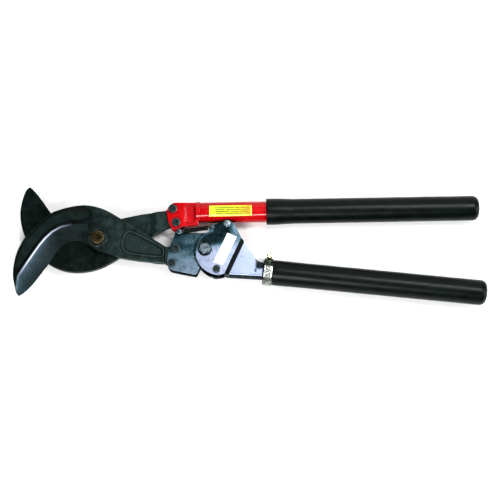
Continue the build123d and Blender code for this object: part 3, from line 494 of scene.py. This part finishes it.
def convexity(me, gain=1.0):
    "0..1 per vertex: how convex the surface is there."
    co, no = verts_of(me), normals_of(me)
    ed = np.zeros(len(me.edges) * 2, int)
    me.edges.foreach_get("vertices", ed)
    a, b = ed.reshape(-1, 2).T
    d = co[b] - co[a]
    ln = np.linalg.norm(d, axis=1) + 1e-12
    c = np.einsum("ij,ij->i", no[b] - no[a], d / ln[:, None])
    acc = np.zeros(len(co)); cnt = np.zeros(len(co))
    np.add.at(acc, a, c); np.add.at(acc, b, c)
    np.add.at(cnt, a, 1); np.add.at(cnt, b, 1)
    w = np.clip(acc / np.maximum(cnt, 1) * gain, 0, 1)
    for _ in range(2):
        s = w.copy(); k = np.ones(len(w))
        np.add.at(s, a, w[b]); np.add.at(s, b, w[a])
        np.add.at(k, a, 1); np.add.at(k, b, 1)
        w = s / k
    return w


def forged(node, name, voxel=0.6, smooth=4, gain=1.6):
    "Rounds a CAD node over as a forging or casting: fine remesh, then smoothing."
    ob = clean_copy(node, name + "_src")
    md = ob.modifiers.new("r", "REMESH")
    md.mode = "VOXEL"
    md.voxel_size = voxel * MM
    sm = ob.modifiers.new("s", "SMOOTH")
    sm.factor = 0.5
    sm.iterations = smooth
    out = baked(ob, name)
    for p in out.data.polygons:
        p.use_smooth = True
    # convex edges weighted for wear and painted highlight
    set_attr(out.data, "wear_and_glint", convexity(out.data, gain))
    return out


def crisp(node, name, width=0.4, seg=2, angle=32, steep=0.45):
    "Copy of a CAD node with small rounded edges that catch the light."
    ob = clean_copy(node, name + "_src")
    bm = bmesh.new()
    bm.from_mesh(ob.data)
    bmesh.ops.dissolve_limit(bm, angle_limit=math.radians(0.6), verts=bm.verts, edges=bm.edges)
    bm.to_mesh(ob.data)
    bm.free()
    bv = ob.modifiers.new("b", "BEVEL")
    bv.width = width * MM
    bv.segments = seg
    bv.limit_method = "ANGLE"
    bv.angle_limit = math.radians(angle)
    bv.use_clamp_overlap = True
    bv.harden_normals = True
    bv.face_strength_mode = "FSTR_NONE"
    out = baked(ob, name)
    # wear and painted highlight on the narrow bevel faces only
    me = out.data
    area = np.zeros(len(me.polygons))
    me.polygons.foreach_get("area", area)
    w = np.zeros(len(me.vertices))
    no = np.zeros(len(me.polygons) * 3)
    me.polygons.foreach_get("normal", no)
    worn_glint = np.zeros(len(me.polygons), np.float32)
    for p in me.polygons:
        vs = [me.vertices[i].co for i in p.vertices]
        rim = sum((vs[i] - vs[i - 1]).length for i in range(len(vs)))
        worn_glint[p.index] = 0.8 if 2 * p.area / rim < 0.55 * width * MM else 0.0
    wa = me.attributes.new("wear_and_glint", "FLOAT", "FACE")
    wa.data.foreach_set("value", worn_glint)
    # side: steep faces, painted dark in the materials as shade
    nz = no.reshape(-1, 3)[:, 2]
    side_shade_layer = me.attributes.new("side", "FLOAT", "FACE")
    side_shade_layer.data.foreach_set("value", (np.abs(nz) < steep).astype(np.float32))
    return out


def plate(node, name, light_map):
    """A pressed plate whose faces carry painted reflection: fine even grid, painted light from place."""
    ob = crisp(node, name, 0.6)
    me = ob.data
    bm = bmesh.new()
    bm.from_mesh(me)
    bmesh.ops.triangulate(bm, faces=[f for f in bm.faces if len(f.verts) > 4])
    for _ in range(7):
        long = [e for e in bm.edges if e.calc_length() > 4.5 * MM]
        if not long:
            break
        bmesh.ops.subdivide_edges(bm, edges=long, cuts=1)
        bmesh.ops.triangulate(bm, faces=[f for f in bm.faces if len(f.verts) > 4])
    bm.to_mesh(me)
    bm.free()
    co = verts_of(me) / MM
    set_attr(me, "painted_light", light_map(co))
    return place(ob, node)


def revolve(name, prof, pt, ang, seg=96):
    "Closed turned body about a handle axis. prof: (distance, radius) from end to end."
    bm = bmesh.new()
    a = math.radians(ang)
    ax = Vector((math.cos(a), math.sin(a), 0))
    sd = Vector((-math.sin(a), math.cos(a), 0))
    o = Vector((pt[0], pt[1], ZM))
    rings = []
    for d, r in prof:
        if r < 1e-6:
            rings.append([bm.verts.new((o + ax * d) * MM)])
        else:
            rings.append([bm.verts.new((o + ax * d + (sd * math.cos(t) + Vector((0, 0, 1)) * math.sin(t)) * r) * MM)
                          for t in (2 * math.pi * i / seg for i in range(seg))])
    for r0, r1 in zip(rings, rings[1:]):
        for i in range(seg):
            j = (i + 1) % seg
            if len(r0) == 1:
                bm.faces.new((r0[0], r1[j], r1[i]))
            elif len(r1) == 1:
                bm.faces.new((r0[i], r0[j], r1[0]))
            else:
                bm.faces.new((r0[i], r0[j], r1[j], r1[i]))
    bmesh.ops.recalc_face_normals(bm, faces=bm.faces)
    for f in bm.faces:
        f.smooth = True
    me = bpy.data.meshes.new(name)
    bm.to_mesh(me)
    bm.free()
    return link(bpy.data.objects.new(name, me))


def mark_sharp(me, deg):
    bm = bmesh.new()
    bm.from_mesh(me)
    lim = math.radians(deg)
    for e in bm.edges:
        e.smooth = not (len(e.link_faces) == 2 and e.calc_face_angle(0) > lim)
    bm.to_mesh(me)
    bm.free()


# ------------------------------------------------------------------ blades
FRONT_BEVEL = [((-122.9, -78.5), (-116.5, -89.0)), ((-118.6, -58.8), (-106.4, -80.2)),
               ((-111.0, -46.6), (-98.0, -71.1)), ((-103.4, -34.5), (-90.5, -61.2)),
               ((-95.8, -22.5), (-83.2, -51.0)), ((-88.2, -11.0), (-75.2, -40.0)),
               ((-79.8, -0.2), (-66.2, -25.6)), ((-69.9, 9.6), (-56.2, -12.5)),
               ((-56.2, 17.9), (-45.5, -4.7)), ((-39.5, 21.9), (-34.0, -2.2)),
               ((-26.0, 22.8), (-25.0, -3.8)), ((-15.6, 22.6), (-15.4, -9.0))]
BACK_BEVEL = [((-115.6, 73.0), (-105.5, 84.2)), ((-116.2, 58.0), (-101.0, 77.4)),
              ((-108.6, 46.0), (-91.2, 66.0)), ((-100.0, 32.5), (-82.1, 53.5)),
              ((-88.2, 15.0), (-73.7, 41.7)), ((-79.8, 3.4), (-65.5, 27.0)),
              ((-69.9, -7.4), (-56.2, 15.0)), ((-56.2, -15.7), (-45.5, 7.2)),
              ((-39.5, -19.7), (-34.0, 4.7)), ((-26.0, -20.6), (-25.0, 6.2)),
              ((-15.6, -20.4), (-15.4, 11.4))]


PANEL = [(-19.0, 45.0), (-30.4, 45.8), (-45.6, 44.0), (-60.8, 39.4), (-73.0, 33.2), (-85.1, 23.4),
         (-95.8, 12.5), (-106.4, -0.5), (-113.2, -13.3), (-118.6, -27.4), (-121.0, -40.0), (-121.6, -49.5),
         (-118.4, -48.4), (-106.4, -29.6), (-95.8, -13.6), (-85.1, 1.6), (-73.0, 14.4), (-57.8, 23.6),
         (-39.5, 28.0), (-21.3, 28.6), (-13.5, 31.5), (-11.2, 36.8), (-13.5, 42.5)]
TAIL = [(45.0, 12.3), (98.8, -16.4), (98.8, -28.4), (43.2, -21.6), (38.4, -8.0)]


def rounded(poly, n=3, k=0.22):
    "Corners cut back n times."
    for _ in range(n):
        out = []
        for i, a in enumerate(poly):
            b = poly[(i + 1) % len(poly)]
            out.append((a[0] + (b[0] - a[0]) * k, a[1] + (b[1] - a[1]) * k))
            out.append((b[0] - (b[0] - a[0]) * k, b[1] - (b[1] - a[1]) * k))
        poly, k = out, 0.25
    return poly


TAIL = rounded(TAIL, 3, 0.16)


def seg_dist(p, line):
    "Distance from points p to a polyline, and how far along it (0..1)."
    best = np.full(len(p), 1e9)
    at = np.zeros(len(p))
    n = len(line) - 1
    for i in range(n):
        a, b = np.array(line[i]), np.array(line[i + 1])
        d = b - a
        t = np.clip(((p - a) @ d) / (d @ d), 0, 1)
        q = a + t[:, None] * d
        r = np.linalg.norm(p - q, axis=1)
        m = r < best
        best[m] = r[m]
        at[m] = (i + t[m]) / n
    return best, at


def in_poly(p, poly):
    x, y = p[:, 0], p[:, 1]
    inside = np.zeros(len(p), bool)
    j = len(poly) - 1
    for i in range(len(poly)):
        xi, yi = poly[i]
        xj, yj = poly[j]
        hit = ((yi > y) != (yj > y)) & (x < (xj - xi) * (y - yi) / (yj - yi + 1e-12) + xi)
        inside ^= hit
        j = i
    return inside


def blade(node, stations, side):
    ob = forged(node, node + "_forged", 0.6, 3, 1.5)
    me = ob.data
    co, no = verts_of(me) / MM, normals_of(me)
    p = co[:, :2]
    ridge = [s[0] for s in stations]
    edge = [s[1] for s in stations]
    grown = [(e[0] + (e[0] - r[0]) * 0.2, e[1] + (e[1] - r[1]) * 0.2) for r, e in stations]
    zone = in_poly(p, ridge + grown[::-1]) & (no[:, 2] * side > 0.4)
    d, at = seg_dist(p, ridge)
    ends = np.clip(1.15 - (at - 0.50) / 0.28, 0, 1)
    near = np.clip(1.0 - (at - 0.36) / 0.30, 0, 1)
    # ground bevel, brightest next to the ridge: part ground finish, part painted sheen
    bevel_and_sheen = zone * np.clip(d / 0.8, 0, 1) * (0.14 + 0.86 * near)
    # rl: painted highlight line along the ridge
    rl = np.exp(-(d / 1.25) ** 2) * (no[:, 2] * side > 0.3) * np.clip((at - 0.03) / 0.25, 0, 1) * ends
    top = (co[:, 2] - 20.0) * side > 8.2
    rl *= top
    fade = np.exp(-d / 8.0) * 0.88 + 0.12
    set_attr(me, "bevel_and_sheen", bevel_and_sheen * fade)
    set_attr(me, "ridge", rl)
    top = (no[:, 2] * side > 0.3)
    outside = (~in_poly(p, ridge + grown[::-1])) & top
    # dark line on the flat face beside the bevel: painted shade
    line = np.exp(-((d - 2.2) / 1.0) ** 2) * outside * (at < 0.85) * 0.8
    pan = in_poly(p, PANEL) & top
    pd, _ = seg_dist(p, PANEL + PANEL[:1])
    if side > 0:
        pan2 = in_poly(p, TAIL) & top
        td, _ = seg_dist(p, TAIL + TAIL[:1])
        set_attr(me, "panel", np.maximum(pan * 0.45, pan2 * 0.95))
        # tail panel: inner and edge are dark lines either side of the rim, painted shade; band on the rim is painted
        # highlight
        inner = np.exp(-((td - 0.6) / 1.0) ** 2) * pan2
        band = np.exp(-((td - 2.3) / 0.8) ** 2) * (~pan2) * top
        edge = np.exp(-((td - 4.2) / 0.9) ** 2) * (~pan2) * top
        line = np.maximum(line, np.maximum(inner * 0.9, edge * 0.75) * (p[:, 0] > 30))
        # dark line round the crescent panel outline: painted shade
        line = np.maximum(line, np.exp(-((pd - 0.4) / 0.9) ** 2) * top * 0.85 * (at >= 0))
        set_attr(me, "rim", band * 0.55 * (p[:, 0] > 30))
        set_attr(me, "tail", np.clip((p[:, 0] + 22) / 40, 0, 1) * 0.8)
    else:
        set_attr(me, "panel", np.zeros(len(p)))
        set_attr(me, "rim", np.zeros(len(p)))
        set_attr(me, "tail", np.clip((p[:, 0] - 12) / 25, 0, 1) * 0.9)
    set_attr(me, "shade_lines", np.clip(line, 0, 1))
    return place(ob, node)


blade("front_blade", FRONT_BEVEL, 1)
blade("back_blade", BACK_BEVEL, -1)

# ------------------------------------------------------------------ castings
clevis = forged("upper_clevis", "upper_clevis_cast", 0.45, 2, 1.6)
co_, no_ = verts_of(clevis.data) / MM, normals_of(clevis.data)
# concave creases of the casting, painted dark: painted shade
concave_shade = np.clip(-(convexity(clevis.data, -4.0) * -1.0), 0, 1)
set_attr(clevis.data, "shade_lines", np.clip(concave_shade * 1.3, 0, 1))
place(clevis, "upper_clevis")

bracket = forged("handle_bracket", "handle_bracket_cast", 0.5, 3, 1.6)
co_, no_ = verts_of(bracket.data) / MM, normals_of(bracket.data)
# painted shade: walls facing -Y, paler below z 12.5, and the hollow on top; dot adds a dark spot
wall_shade = np.clip((-no_[:, 1] - 0.45) / 0.2, 0, 1) * np.clip((co_[:, 2] - 12.5) / 0.8, 0, 1)
low_wall_shade = np.clip((-no_[:, 1] - 0.45) / 0.2, 0, 1) * (co_[:, 2] <= 12.5) * 0.55
pan = np.exp(-(np.maximum(np.abs(co_[:, 0] - 248.5) - 5.6, 0) / 3.2) ** 2 - (np.maximum(np.abs(co_[:, 1] + 39.5) - 5.6, 0) / 2.2) ** 2)
pan *= (co_[:, 2] > 18)
dot = np.exp(-(np.hypot(co_[:, 0] - 239.5, co_[:, 1] + 49.5) / 2.0) ** 2) * (co_[:, 2] > 25) * 0.7
set_attr(bracket.data, "bracket_shade", np.clip(wall_shade + low_wall_shade + pan * 1.15 + dot, 0, 1))
place(bracket, "handle_bracket")

# ------------------------------------------------------------------ machined and pressed pieces
def smooth01(v):
    v = np.clip(v, 0, 1)
    return v * v * (3 - 2 * v)


def head_painted_light(c):
    # painted reflection: pale towards -Y, a lighter rim along the arc and a lighter corner
    s1 = -c[:, 1] + 0.2 * (c[:, 0] - 161.0)
    base = 0.02 + 0.90 * smooth01((s1 - 7.0) / 18.0)
    r = np.hypot(c[:, 0] - 182.4, c[:, 1] + 21.2)
    rim = smooth01((r - 29.5) / 3.0) * (c[:, 0] < 176) * 0.42
    corner_reflection = smooth01((c[:, 0] - 196.0) / 12.0) * smooth01((c[:, 1] + 25.0) / 10.0) * 0.48
    return np.clip(np.maximum(base, np.maximum(corner_reflection, rim)), 0, 1)


def arm_painted_light(c):
    # painted reflection, paler towards -Y; painted shadow line beside the head plate's arc and painted highlight ring
    # outside it
    t = 0.22 + 0.32 * smooth01((-c[:, 1] - 10.0) / 32.0) + 0.05 * smooth01((c[:, 0] - 120.0) / 30.0)
    r = np.hypot(c[:, 0] - 182.4, c[:, 1] + 21.2)
    return t * (1 - np.exp(-((r - 34.9) / 1.1) ** 2)) + 0.10 * np.exp(-((r - 38.5) / 1.5) ** 2)


def back_painted_shade(c):
    # back plates painted darkest: painted shade
    return np.full(len(c), -0.1)


for node, light_map in (("ratchet_plate_front", arm_painted_light), ("ratchet_plate_back", back_painted_shade),
                    ("quadrant_rivets", arm_painted_light),
                    ("head_plate_front", head_painted_light), ("head_plate_back", back_painted_shade)):
    plate(node, node + "_pressed", light_map)

SPECIAL = {"spring_stud": DULL, "spring_anchor_pin": DULL, "stop_pin": PALE, "pivot_bolt": PALE,
           "pawl_bolt": SOOT, "centre_washers": SOOT, "pivot_lock_washer": SOOT, "arm_bolts": SOOT,
           "clevis_bolts": SOOT}
for node, width in (("head_end_bar", 0.8), ("ratchet_quadrant", 0.3),
                    ("ratchet_pawl", 0.4), ("centre_bolt", 0.35), ("centre_washers", 0.3), ("centre_nut", 0.4),
                    ("clevis_bolts", 0.3), ("clevis_nuts", 0.4), ("arm_bolts", 0.3), ("arm_nuts", 0.4),
                    ("pivot_bolt", 0.5), ("pivot_lock_washer", 0.25), ("pivot_nut", 0.4), ("pawl_bolt", 0.3),
                    ("pawl_nut", 0.4), ("pawl_spacers", 0.2), ("stop_pin", 0.3), ("spring_stud", 0.3),
                    ("spring_anchor_pin", 0.3), ("clamp_screw", 0.3), ("clamp_housing", 0.5),
                    ("pivot_bush", 0.3)):
    place(crisp(node, node + "_fine", width, steep=0.86 if node in ("pivot_bolt", "stop_pin") else 0.45), node,
          SPECIAL.get(node))

place(crisp("plate_label", "plate_label_film", 0.05, 1), "plate_label")

# ------------------------------------------------------------------ tubes
def tube(node, name, pt, ang, r, bore, length, mat=None):
    prof = [(0.0, bore), (0.0, r - 0.5), (0.15, r - 0.15), (0.5, r)]
    n = 60
    prof += [(0.5 + (length - 1.0) * i / n, r) for i in range(1, n)]
    prof += [(length - 0.5, r), (length - 0.15, r - 0.15), (length, r - 0.5), (length, bore), (0.0, bore)]
    ob = revolve(name, prof, pt, ang, 128)
    bm = bmesh.new(); bm.from_mesh(ob.data)
    bmesh.ops.remove_doubles(bm, verts=bm.verts, dist=1e-7)
    bmesh.ops.recalc_face_normals(bm, faces=bm.faces)
    bm.to_mesh(ob.data); bm.free()
    mark_sharp(ob.data, 40)
    set_attr(ob.data, "wear_and_glint", np.zeros(len(ob.data.vertices)))
    return place(ob, node, mat)


tube("upper_tube", "upper_tube_drawn", UP_PT, UP_DIR, 15.9, 13.4, 405.0)
tube("lower_tube", "lower_tube_drawn", LO_PT, LO_DIR, 13.0, 10.5, 318.0)


# ------------------------------------------------------------------ grips
def grip(node, name, pt, ang, d0, d1, lip, band, bore, inner_end):
    G = 19.0
    prof = []
    # front end: bore, then rolled edge
    prof += [(inner_end, 0.0), (inner_end, bore), (d0 + 1.0, bore), (d0 + 0.2, bore + 0.3), (d0, bore + 0.9)]
    r0 = band if band else lip
    prof += [(d0, r0 - 1.1), (d0 + 0.15, r0 - 0.6), (d0 + 0.45, r0 - 0.25), (d0 + 1.0, r0 - 0.03), (d0 + 1.6, r0)]
    if band:
        prof += [(d0 + 8.0, r0), (d0 + 14.6, r0), (d0 + 15.4, r0 + 0.25), (d0 + 16.4, r0 + 0.5)]
        prof += [(d0 + 24.0, 19.15), (d0 + 40.0, 19.05)]
        start = d0 + 40.0
    else:
        prof += [(d0 + 8.0, lip), (d0 + 15.0, lip - 0.06), (d0 + 22.0, lip - 0.32), (d0 + 30.0, lip - 0.70),
                 (d0 + 38.0, lip - 0.93)]
        start = d0 + 40.0
    end = d1 - 10.0
    n = 70
    for i in range(n + 1):
        t = i / n
        d = start + (end - start) * t
        # hand-moulded sleeves are never quite even
        r = G - 0.05 - 0.10 * math.sin(t * 17.0) ** 2 - 0.06 * math.sin(t * 41.0 + 1.0) ** 2
        prof.append((d, r))
    for k in range(1, 13):
        a = math.pi / 2 * k / 12
        prof.append((end + 9.8 * math.sin(a), G - 0.1 - 9.6 * (1 - math.cos(a))))
    prof += [(d1, 6.0), (d1 - 0.25, 3.0), (d1 - 0.3, 0.0)]
    ob = revolve(name, prof, pt, ang, 144)
    # very shallow flats and dents
    me = ob.data
    co = verts_of(me)
    rng = np.random.default_rng(11 if band else 5)
    a = math.radians(ang)
    ax = np.array([math.cos(a), math.sin(a), 0]); o = np.array([pt[0], pt[1], ZM]) * MM
    rel = co - o
    d = rel @ ax / MM
    rad = rel - np.outer(rel @ ax, ax)
    rl = np.linalg.norm(rad, axis=1)
    th = np.arctan2(rad[:, 2], rad @ np.array([-math.sin(a), math.cos(a), 0]))
    inward = np.zeros(len(co))
    for _ in range(16):
        cd, ct, sd_, st, h = rng.uniform(d0 + 45, d1 - 25), rng.uniform(-math.pi, math.pi), rng.uniform(8, 26), rng.uniform(0.25, 0.7), rng.uniform(0.05, 0.16)
        dt = np.angle(np.exp(1j * (th - ct)))
        inward += h * np.exp(-((d - cd) / sd_) ** 2 - (dt / st) ** 2)
    outer = rl > 12 * MM
    keep = outer & (d > d0 + 20)
    f = np.where(keep, 1 - np.minimum(inward, 0.35) * MM / np.maximum(rl, 1e-6), 1)
    co = o + np.outer(rel @ ax, ax) + rad * f[:, None]
    me.vertices.foreach_set("co", co.ravel())
    mark_sharp(me, 60)
    return place(ob, node)


grip("upper_grip", "upper_grip_sleeve", UP_PT, UP_DIR, 101.0, 426.4, 20.0, None, 15.9, 405.0)
grip("lower_grip", "lower_grip_sleeve", LO_PT, LO_DIR, 0.3, 339.0, 19.0, 18.6, 13.0, 318.0)


# ------------------------------------------------------------------ clamp band with its slanted thread slots
def clamp_band():
    a = math.radians(LO_DIR)
    ax = Vector((math.cos(a), math.sin(a), 0)); sd = Vector((-math.sin(a), math.cos(a), 0))
    o = Vector((LO_PT[0], LO_PT[1], ZM))
    seg, rows = 600, 26
    bm = bmesh.new()
    outer, shade_lines = [], {}
    for i in range(seg):
        t = 2 * math.pi * i / seg
        rad = sd * math.cos(t) + Vector((0, 0, 1)) * math.sin(t)
        ring = []
        for j in range(rows + 1):
            w = 13.0 * j / rows
            r = 20.0
            if j in (0, rows):
                r -= 0.25
            x = w - 6.5
            g = 0.0
            ph = (t / (2 * math.pi) * 62.0 + x * 0.085) % 1.0
            if abs(x) < 4.3:
                g = max(0.0, min(1.0, (0.27 - abs(ph - 0.5)) / 0.10)) * min(1.0, (4.3 - abs(x)) / 0.6)
            # plain band under the screw housing
            if math.cos(t) > 0.86:
                g *= 0.0
            r -= 0.62 * g
            v = bm.verts.new((o + ax * (1.4 + w) + rad * r) * MM)
            shade_lines[v] = g
            ring.append(v)
        inner = [bm.verts.new((o + ax * (1.4 + w) + rad * 18.6) * MM) for w in (13.0, 0.0)]
        for v in inner:
            shade_lines[v] = 0.0
        outer.append(ring + inner)
    n = rows + 3
    for i in range(seg):
        r0, r1 = outer[i], outer[(i + 1) % seg]
        for j in range(n):
            k = (j + 1) % n
            bm.faces.new((r0[j], r0[k], r1[k], r1[j]))
    bmesh.ops.recalc_face_normals(bm, faces=bm.faces)
    bm.verts.index_update()
    vals = [0.0] * len(bm.verts)
    for v, g in shade_lines.items():
        vals[v.index] = g
    for f in bm.faces:
        f.smooth = True
    me = bpy.data.meshes.new("clamp_band_slotted")
    bm.to_mesh(me)
    bm.free()
    # slot depth doubles as painted shade in the slots
    set_attr(me, "shade_lines", vals)
    # flanks of the band, each side of the axis: painted shade
    cb = verts_of(me) / MM
    sa = math.radians(LO_DIR)
    sidev = -(cb[:, 0] - LO_PT[0]) * math.sin(sa) + (cb[:, 1] - LO_PT[1]) * math.cos(sa)
    ol = np.clip((sidev - 3.5) / 3.0, 0, 1) * 0.98 + np.clip((-sidev - 5.0) / 4.0, 0, 1) * 0.8
    set_attr(me, "flank_shade", np.clip(ol, 0, 1))
    mark_sharp(me, 45)
    ob = link(bpy.data.objects.new("clamp_band_slotted", me))
    return place(ob, "clamp_band")


clamp_band()


# ------------------------------------------------------------------ coil springs
def wire(name, pts, radius, closed=False):
    "Round wire along points, as a mesh tube made by hand."
    seg = 10
    P = [Vector(p) for p in pts]
    n = len(P)
    T = [(P[min(i + 1, n - 1)] - P[max(i - 1, 0)]).normalized() for i in range(n)]
    up = Vector((0, 0, 1)) if abs(T[0].z) < 0.9 else Vector((1, 0, 0))
    N = (up - T[0] * up.dot(T[0])).normalized()
    bm = bmesh.new()
    rings = []
    for i in range(n):
        if i:
            N = (N - T[i] * N.dot(T[i])).normalized()
        B = T[i].cross(N)
        rings.append([bm.verts.new((P[i] + (N * math.cos(t) + B * math.sin(t)) * radius) * MM)
                      for t in (2 * math.pi * k / seg for k in range(seg))])
    for r0, r1 in zip(rings, rings[1:]):
        for k in range(seg):
            j = (k + 1) % seg
            bm.faces.new((r0[k], r0[j], r1[j], r1[k]))
    bm.faces.new(rings[0][::-1])
    bm.faces.new(rings[-1])
    bmesh.ops.recalc_face_normals(bm, faces=bm.faces)
    for f in bm.faces:
        f.smooth = len(f.verts) == 4
    me = bpy.data.meshes.new(name)
    bm.to_mesh(me)
    bm.free()
    return link(bpy.data.objects.new(name, me))


def handle_spring():
    ang = math.degrees(math.atan2(ANCHOR[1] - STUD[1], ANCHOR[0] - STUD[0]))
    L = math.hypot(ANCHOR[1] - STUD[1], ANCHOR[0] - STUD[0])
    a = math.radians(ang)
    ax = Vector((math.cos(a), math.sin(a), 0)); sd = Vector((-math.sin(a), math.cos(a), 0)); z = Vector((0, 0, 1))
    o = Vector((STUD[0], STUD[1], SPRING_Z))
    wr, R = 0.75, 2.55
    c0, c1 = 6.9, L - 7.4
    pts = []
    # loop round the stud, in the plane of the plates
    for i in range(0, 29):
        t = math.radians(-150 + 300 * i / 28)
        pts.append(o - ax * (2.95 * math.cos(t)) + sd * (2.95 * math.sin(t)))
    # loop ends near the axis on its right side; rise to the coil's radius
    last = pts[-1]
    start = o + ax * c0 + sd * R * math.cos(math.pi) + z * R * math.sin(math.pi)
    for i in range(1, 8):
        t = i / 8
        s = t * t * (3 - 2 * t)
        pts.append(last.lerp(start, s))
    turns = 23.5
    n = int(turns * 22)
    for i in range(n + 1):
        t = i / n
        ph = math.pi + 2 * math.pi * turns * t
        pts.append(o + ax * (c0 + (c1 - c0) * t) + sd * R * math.cos(ph) + z * R * math.sin(ph))
    end = o + ax * L
    loop = []
    for i in range(0, 29):
        t = math.radians(150 - 300 * i / 28)
        loop.append(end + ax * (2.55 * math.cos(t)) + sd * (2.55 * math.sin(t)))
    loop = loop[::-1]
    last, nxt = pts[-1], loop[0]
    for i in range(1, 8):
        t = i / 8
        s = t * t * (3 - 2 * t)
        pts.append(last.lerp(nxt, s))
    pts += loop
    ob = wire("handle_spring_coil", pts, wr)
    ob.data.materials.append(M["spring_steel"])
    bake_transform(ob, "moving_jaw", "lower_handle", start=(STUD[0] * MM, STUD[1] * MM, SPRING_Z * MM),
             end=(ANCHOR[0] * MM, ANCHOR[1] * MM, SPRING_Z * MM))
    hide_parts("handle_spring")
    return ob


handle_spring()


def pawl_spring():
    cx, cy = 180.9, -48.8
    pts = []
    turns, n = 3.2, 110
    for i in range(n + 1):
        t = i / n
        ph = math.radians(60) + 2 * math.pi * turns * t
        pts.append((cx + 5.8 * math.cos(ph), cy + 5.8 * math.sin(ph), 25.1 + 3.1 * t))
    ob = wire("pawl_spring_coil", pts, 0.5)
    return place(ob, "pawl_spring")


pawl_spring()


# ------------------------------------------------------------------ tube label
def tube_label():
    a = math.radians(UP_DIR)
    ax = Vector((math.cos(a), math.sin(a), 0)); sd = Vector((-math.sin(a), math.cos(a), 0)); z = Vector((0, 0, 1))
    o = Vector((UP_PT[0], UP_PT[1], ZM))
    nu, nv = 66, 40
    d0, d1 = 13.9, 78.8
    f0, f1 = -36.4, 27.6
    bm = bmesh.new()
    uvl = bm.loops.layers.uv.new("UVMap")
    def grid(r):
        return [[bm.verts.new((o + ax * (d0 + (d1 - d0) * i / nu)
                              + (sd * math.sin(math.radians(f0 + (f1 - f0) * j / nv))
                                 + z * math.cos(math.radians(f0 + (f1 - f0) * j / nv))) * r) * MM)
                 for j in range(nv + 1)] for i in range(nu + 1)]
    top, low = grid(16.07), grid(15.92)
    def quad(vs, uvs):
        f = bm.faces.new(vs)
        f.smooth = True
        for lp, uv in zip(f.loops, uvs):
            lp[uvl].uv = uv
    for i in range(nu):
        for j in range(nv):
            uv = [(i / nu, j / nv), ((i + 1) / nu, j / nv), ((i + 1) / nu, (j + 1) / nv), (i / nu, (j + 1) / nv)]
            quad([top[i][j], top[i + 1][j], top[i + 1][j + 1], top[i][j + 1]], uv)
            quad([low[i][j], low[i][j + 1], low[i + 1][j + 1], low[i + 1][j]], [uv[0], uv[3], uv[2], uv[1]])
    for i in range(nu):
        quad([top[i][0], low[i][0], low[i + 1][0], top[i + 1][0]], [(0, 0)] * 4)
        quad([top[i][nv], top[i + 1][nv], low[i + 1][nv], low[i][nv]], [(0, 0)] * 4)
    for j in range(nv):
        quad([top[0][j], top[0][j + 1], low[0][j + 1], low[0][j]], [(0, 0)] * 4)
        quad([top[nu][j], low[nu][j], low[nu][j + 1], top[nu][j + 1]], [(0, 0)] * 4)
    bmesh.ops.recalc_face_normals(bm, faces=bm.faces)
    me = bpy.data.meshes.new("handle_label_film")
    bm.to_mesh(me)
    bm.free()
    return place(link(bpy.data.objects.new("handle_label_film", me)), "handle_label")


tube_label()

# ------------------------------------------------------------------ stage, light, camera
def floor():
    bm = bmesh.new()
    bmesh.ops.create_grid(bm, x_segments=8, y_segments=8, size=3.0)
    me = bpy.data.meshes.new("studio_floor")
    bm.to_mesh(me)
    bm.free()
    ob = link(bpy.data.objects.new("studio_floor", me))
    ob.location = (0.23, 0, -0.0002)
    m = Mat("paper_white")
    c = m.ramp(m.noise(3, 3, 0.5), [(0.3, (0.86, 0.86, 0.86)), (0.7, (0.90, 0.90, 0.90))])
    m.done(c, 0.9, m.bump(m.noise(500, 3, 0.5), 0.05, 0.0002), 0.0, Specular_IOR_Level=0.1, Emission_Strength=0.10)
    m.link(c, m.p.inputs["Emission Color"])
    me.materials.append(m.m)


floor()


def area(name, loc, target, size, size_y, power, color=(1, 1, 1)):
    la = bpy.data.lights.new(name, "AREA")
    la.shape = "RECTANGLE"
    la.size, la.size_y = size, size_y
    la.energy = power
    la.color = color
    ob = link(bpy.data.objects.new(name, la))
    ob.location = loc
    d = Vector(target) - Vector(loc)
    ob.rotation_euler = d.to_track_quat("-Z", "Y").to_euler()
    return ob


mid = (0.23, -0.01, 0.02)
area("key_back", (0.30, 1.90, 1.05), mid, 3.4, 2.0, 30)
area("front_strip", (-0.13, -1.20, 1.21), (-0.13, 0.04, 0.02), 0.93, 0.42, 29)
area("side_left", (-1.8, -0.5, 0.8), mid, 1.2, 1.0, 14)
area("side_right", (2.4, -0.4, 0.9), mid, 1.4, 1.2, 30)
# flat panel overhead: the plates and the tops of the sleeves pick it up
area("overhead", (0.80, 0.20, 1.6), (0.80, 0.20, 0.0), 1.5, 1.0, 3.2)
area("sheen", (0.79, 0.34, 1.6), (0.60, 0.0, 0.0), 0.82, 0.20, 19.0)
w = bpy.data.worlds.new("studio")
sc.world = w
w.use_nodes = True
w.node_tree.nodes["Background"].inputs["Color"].default_value = (0.9, 0.97, 1.0, 1)
w.node_tree.nodes["Background"].inputs["Strength"].default_value = 0.05
sc.view_settings.view_transform = "Standard"
sc.view_settings.look = "High Contrast"
sc.view_settings.exposure = -0.46

EL = math.radians(76.0)
K = 1.52 * MM
cam = bpy.data.cameras.new("camera")
cam.lens = 100.0
cam.sensor_width = 36.0
cam.clip_end = 30
co = link(bpy.data.objects.new("camera", cam))
dist = 500 * K / (36.0 / 100.0) * 0.996
tgt = Vector(((250 - 98) * K, (238 - 250) * K / math.sin(EL), 0.030))
co.location = tgt + Vector((0, -math.cos(EL), math.sin(EL))) * dist
co.rotation_euler = (tgt - co.location).to_track_quat("-Z", "Y").to_euler()
sc.camera = co
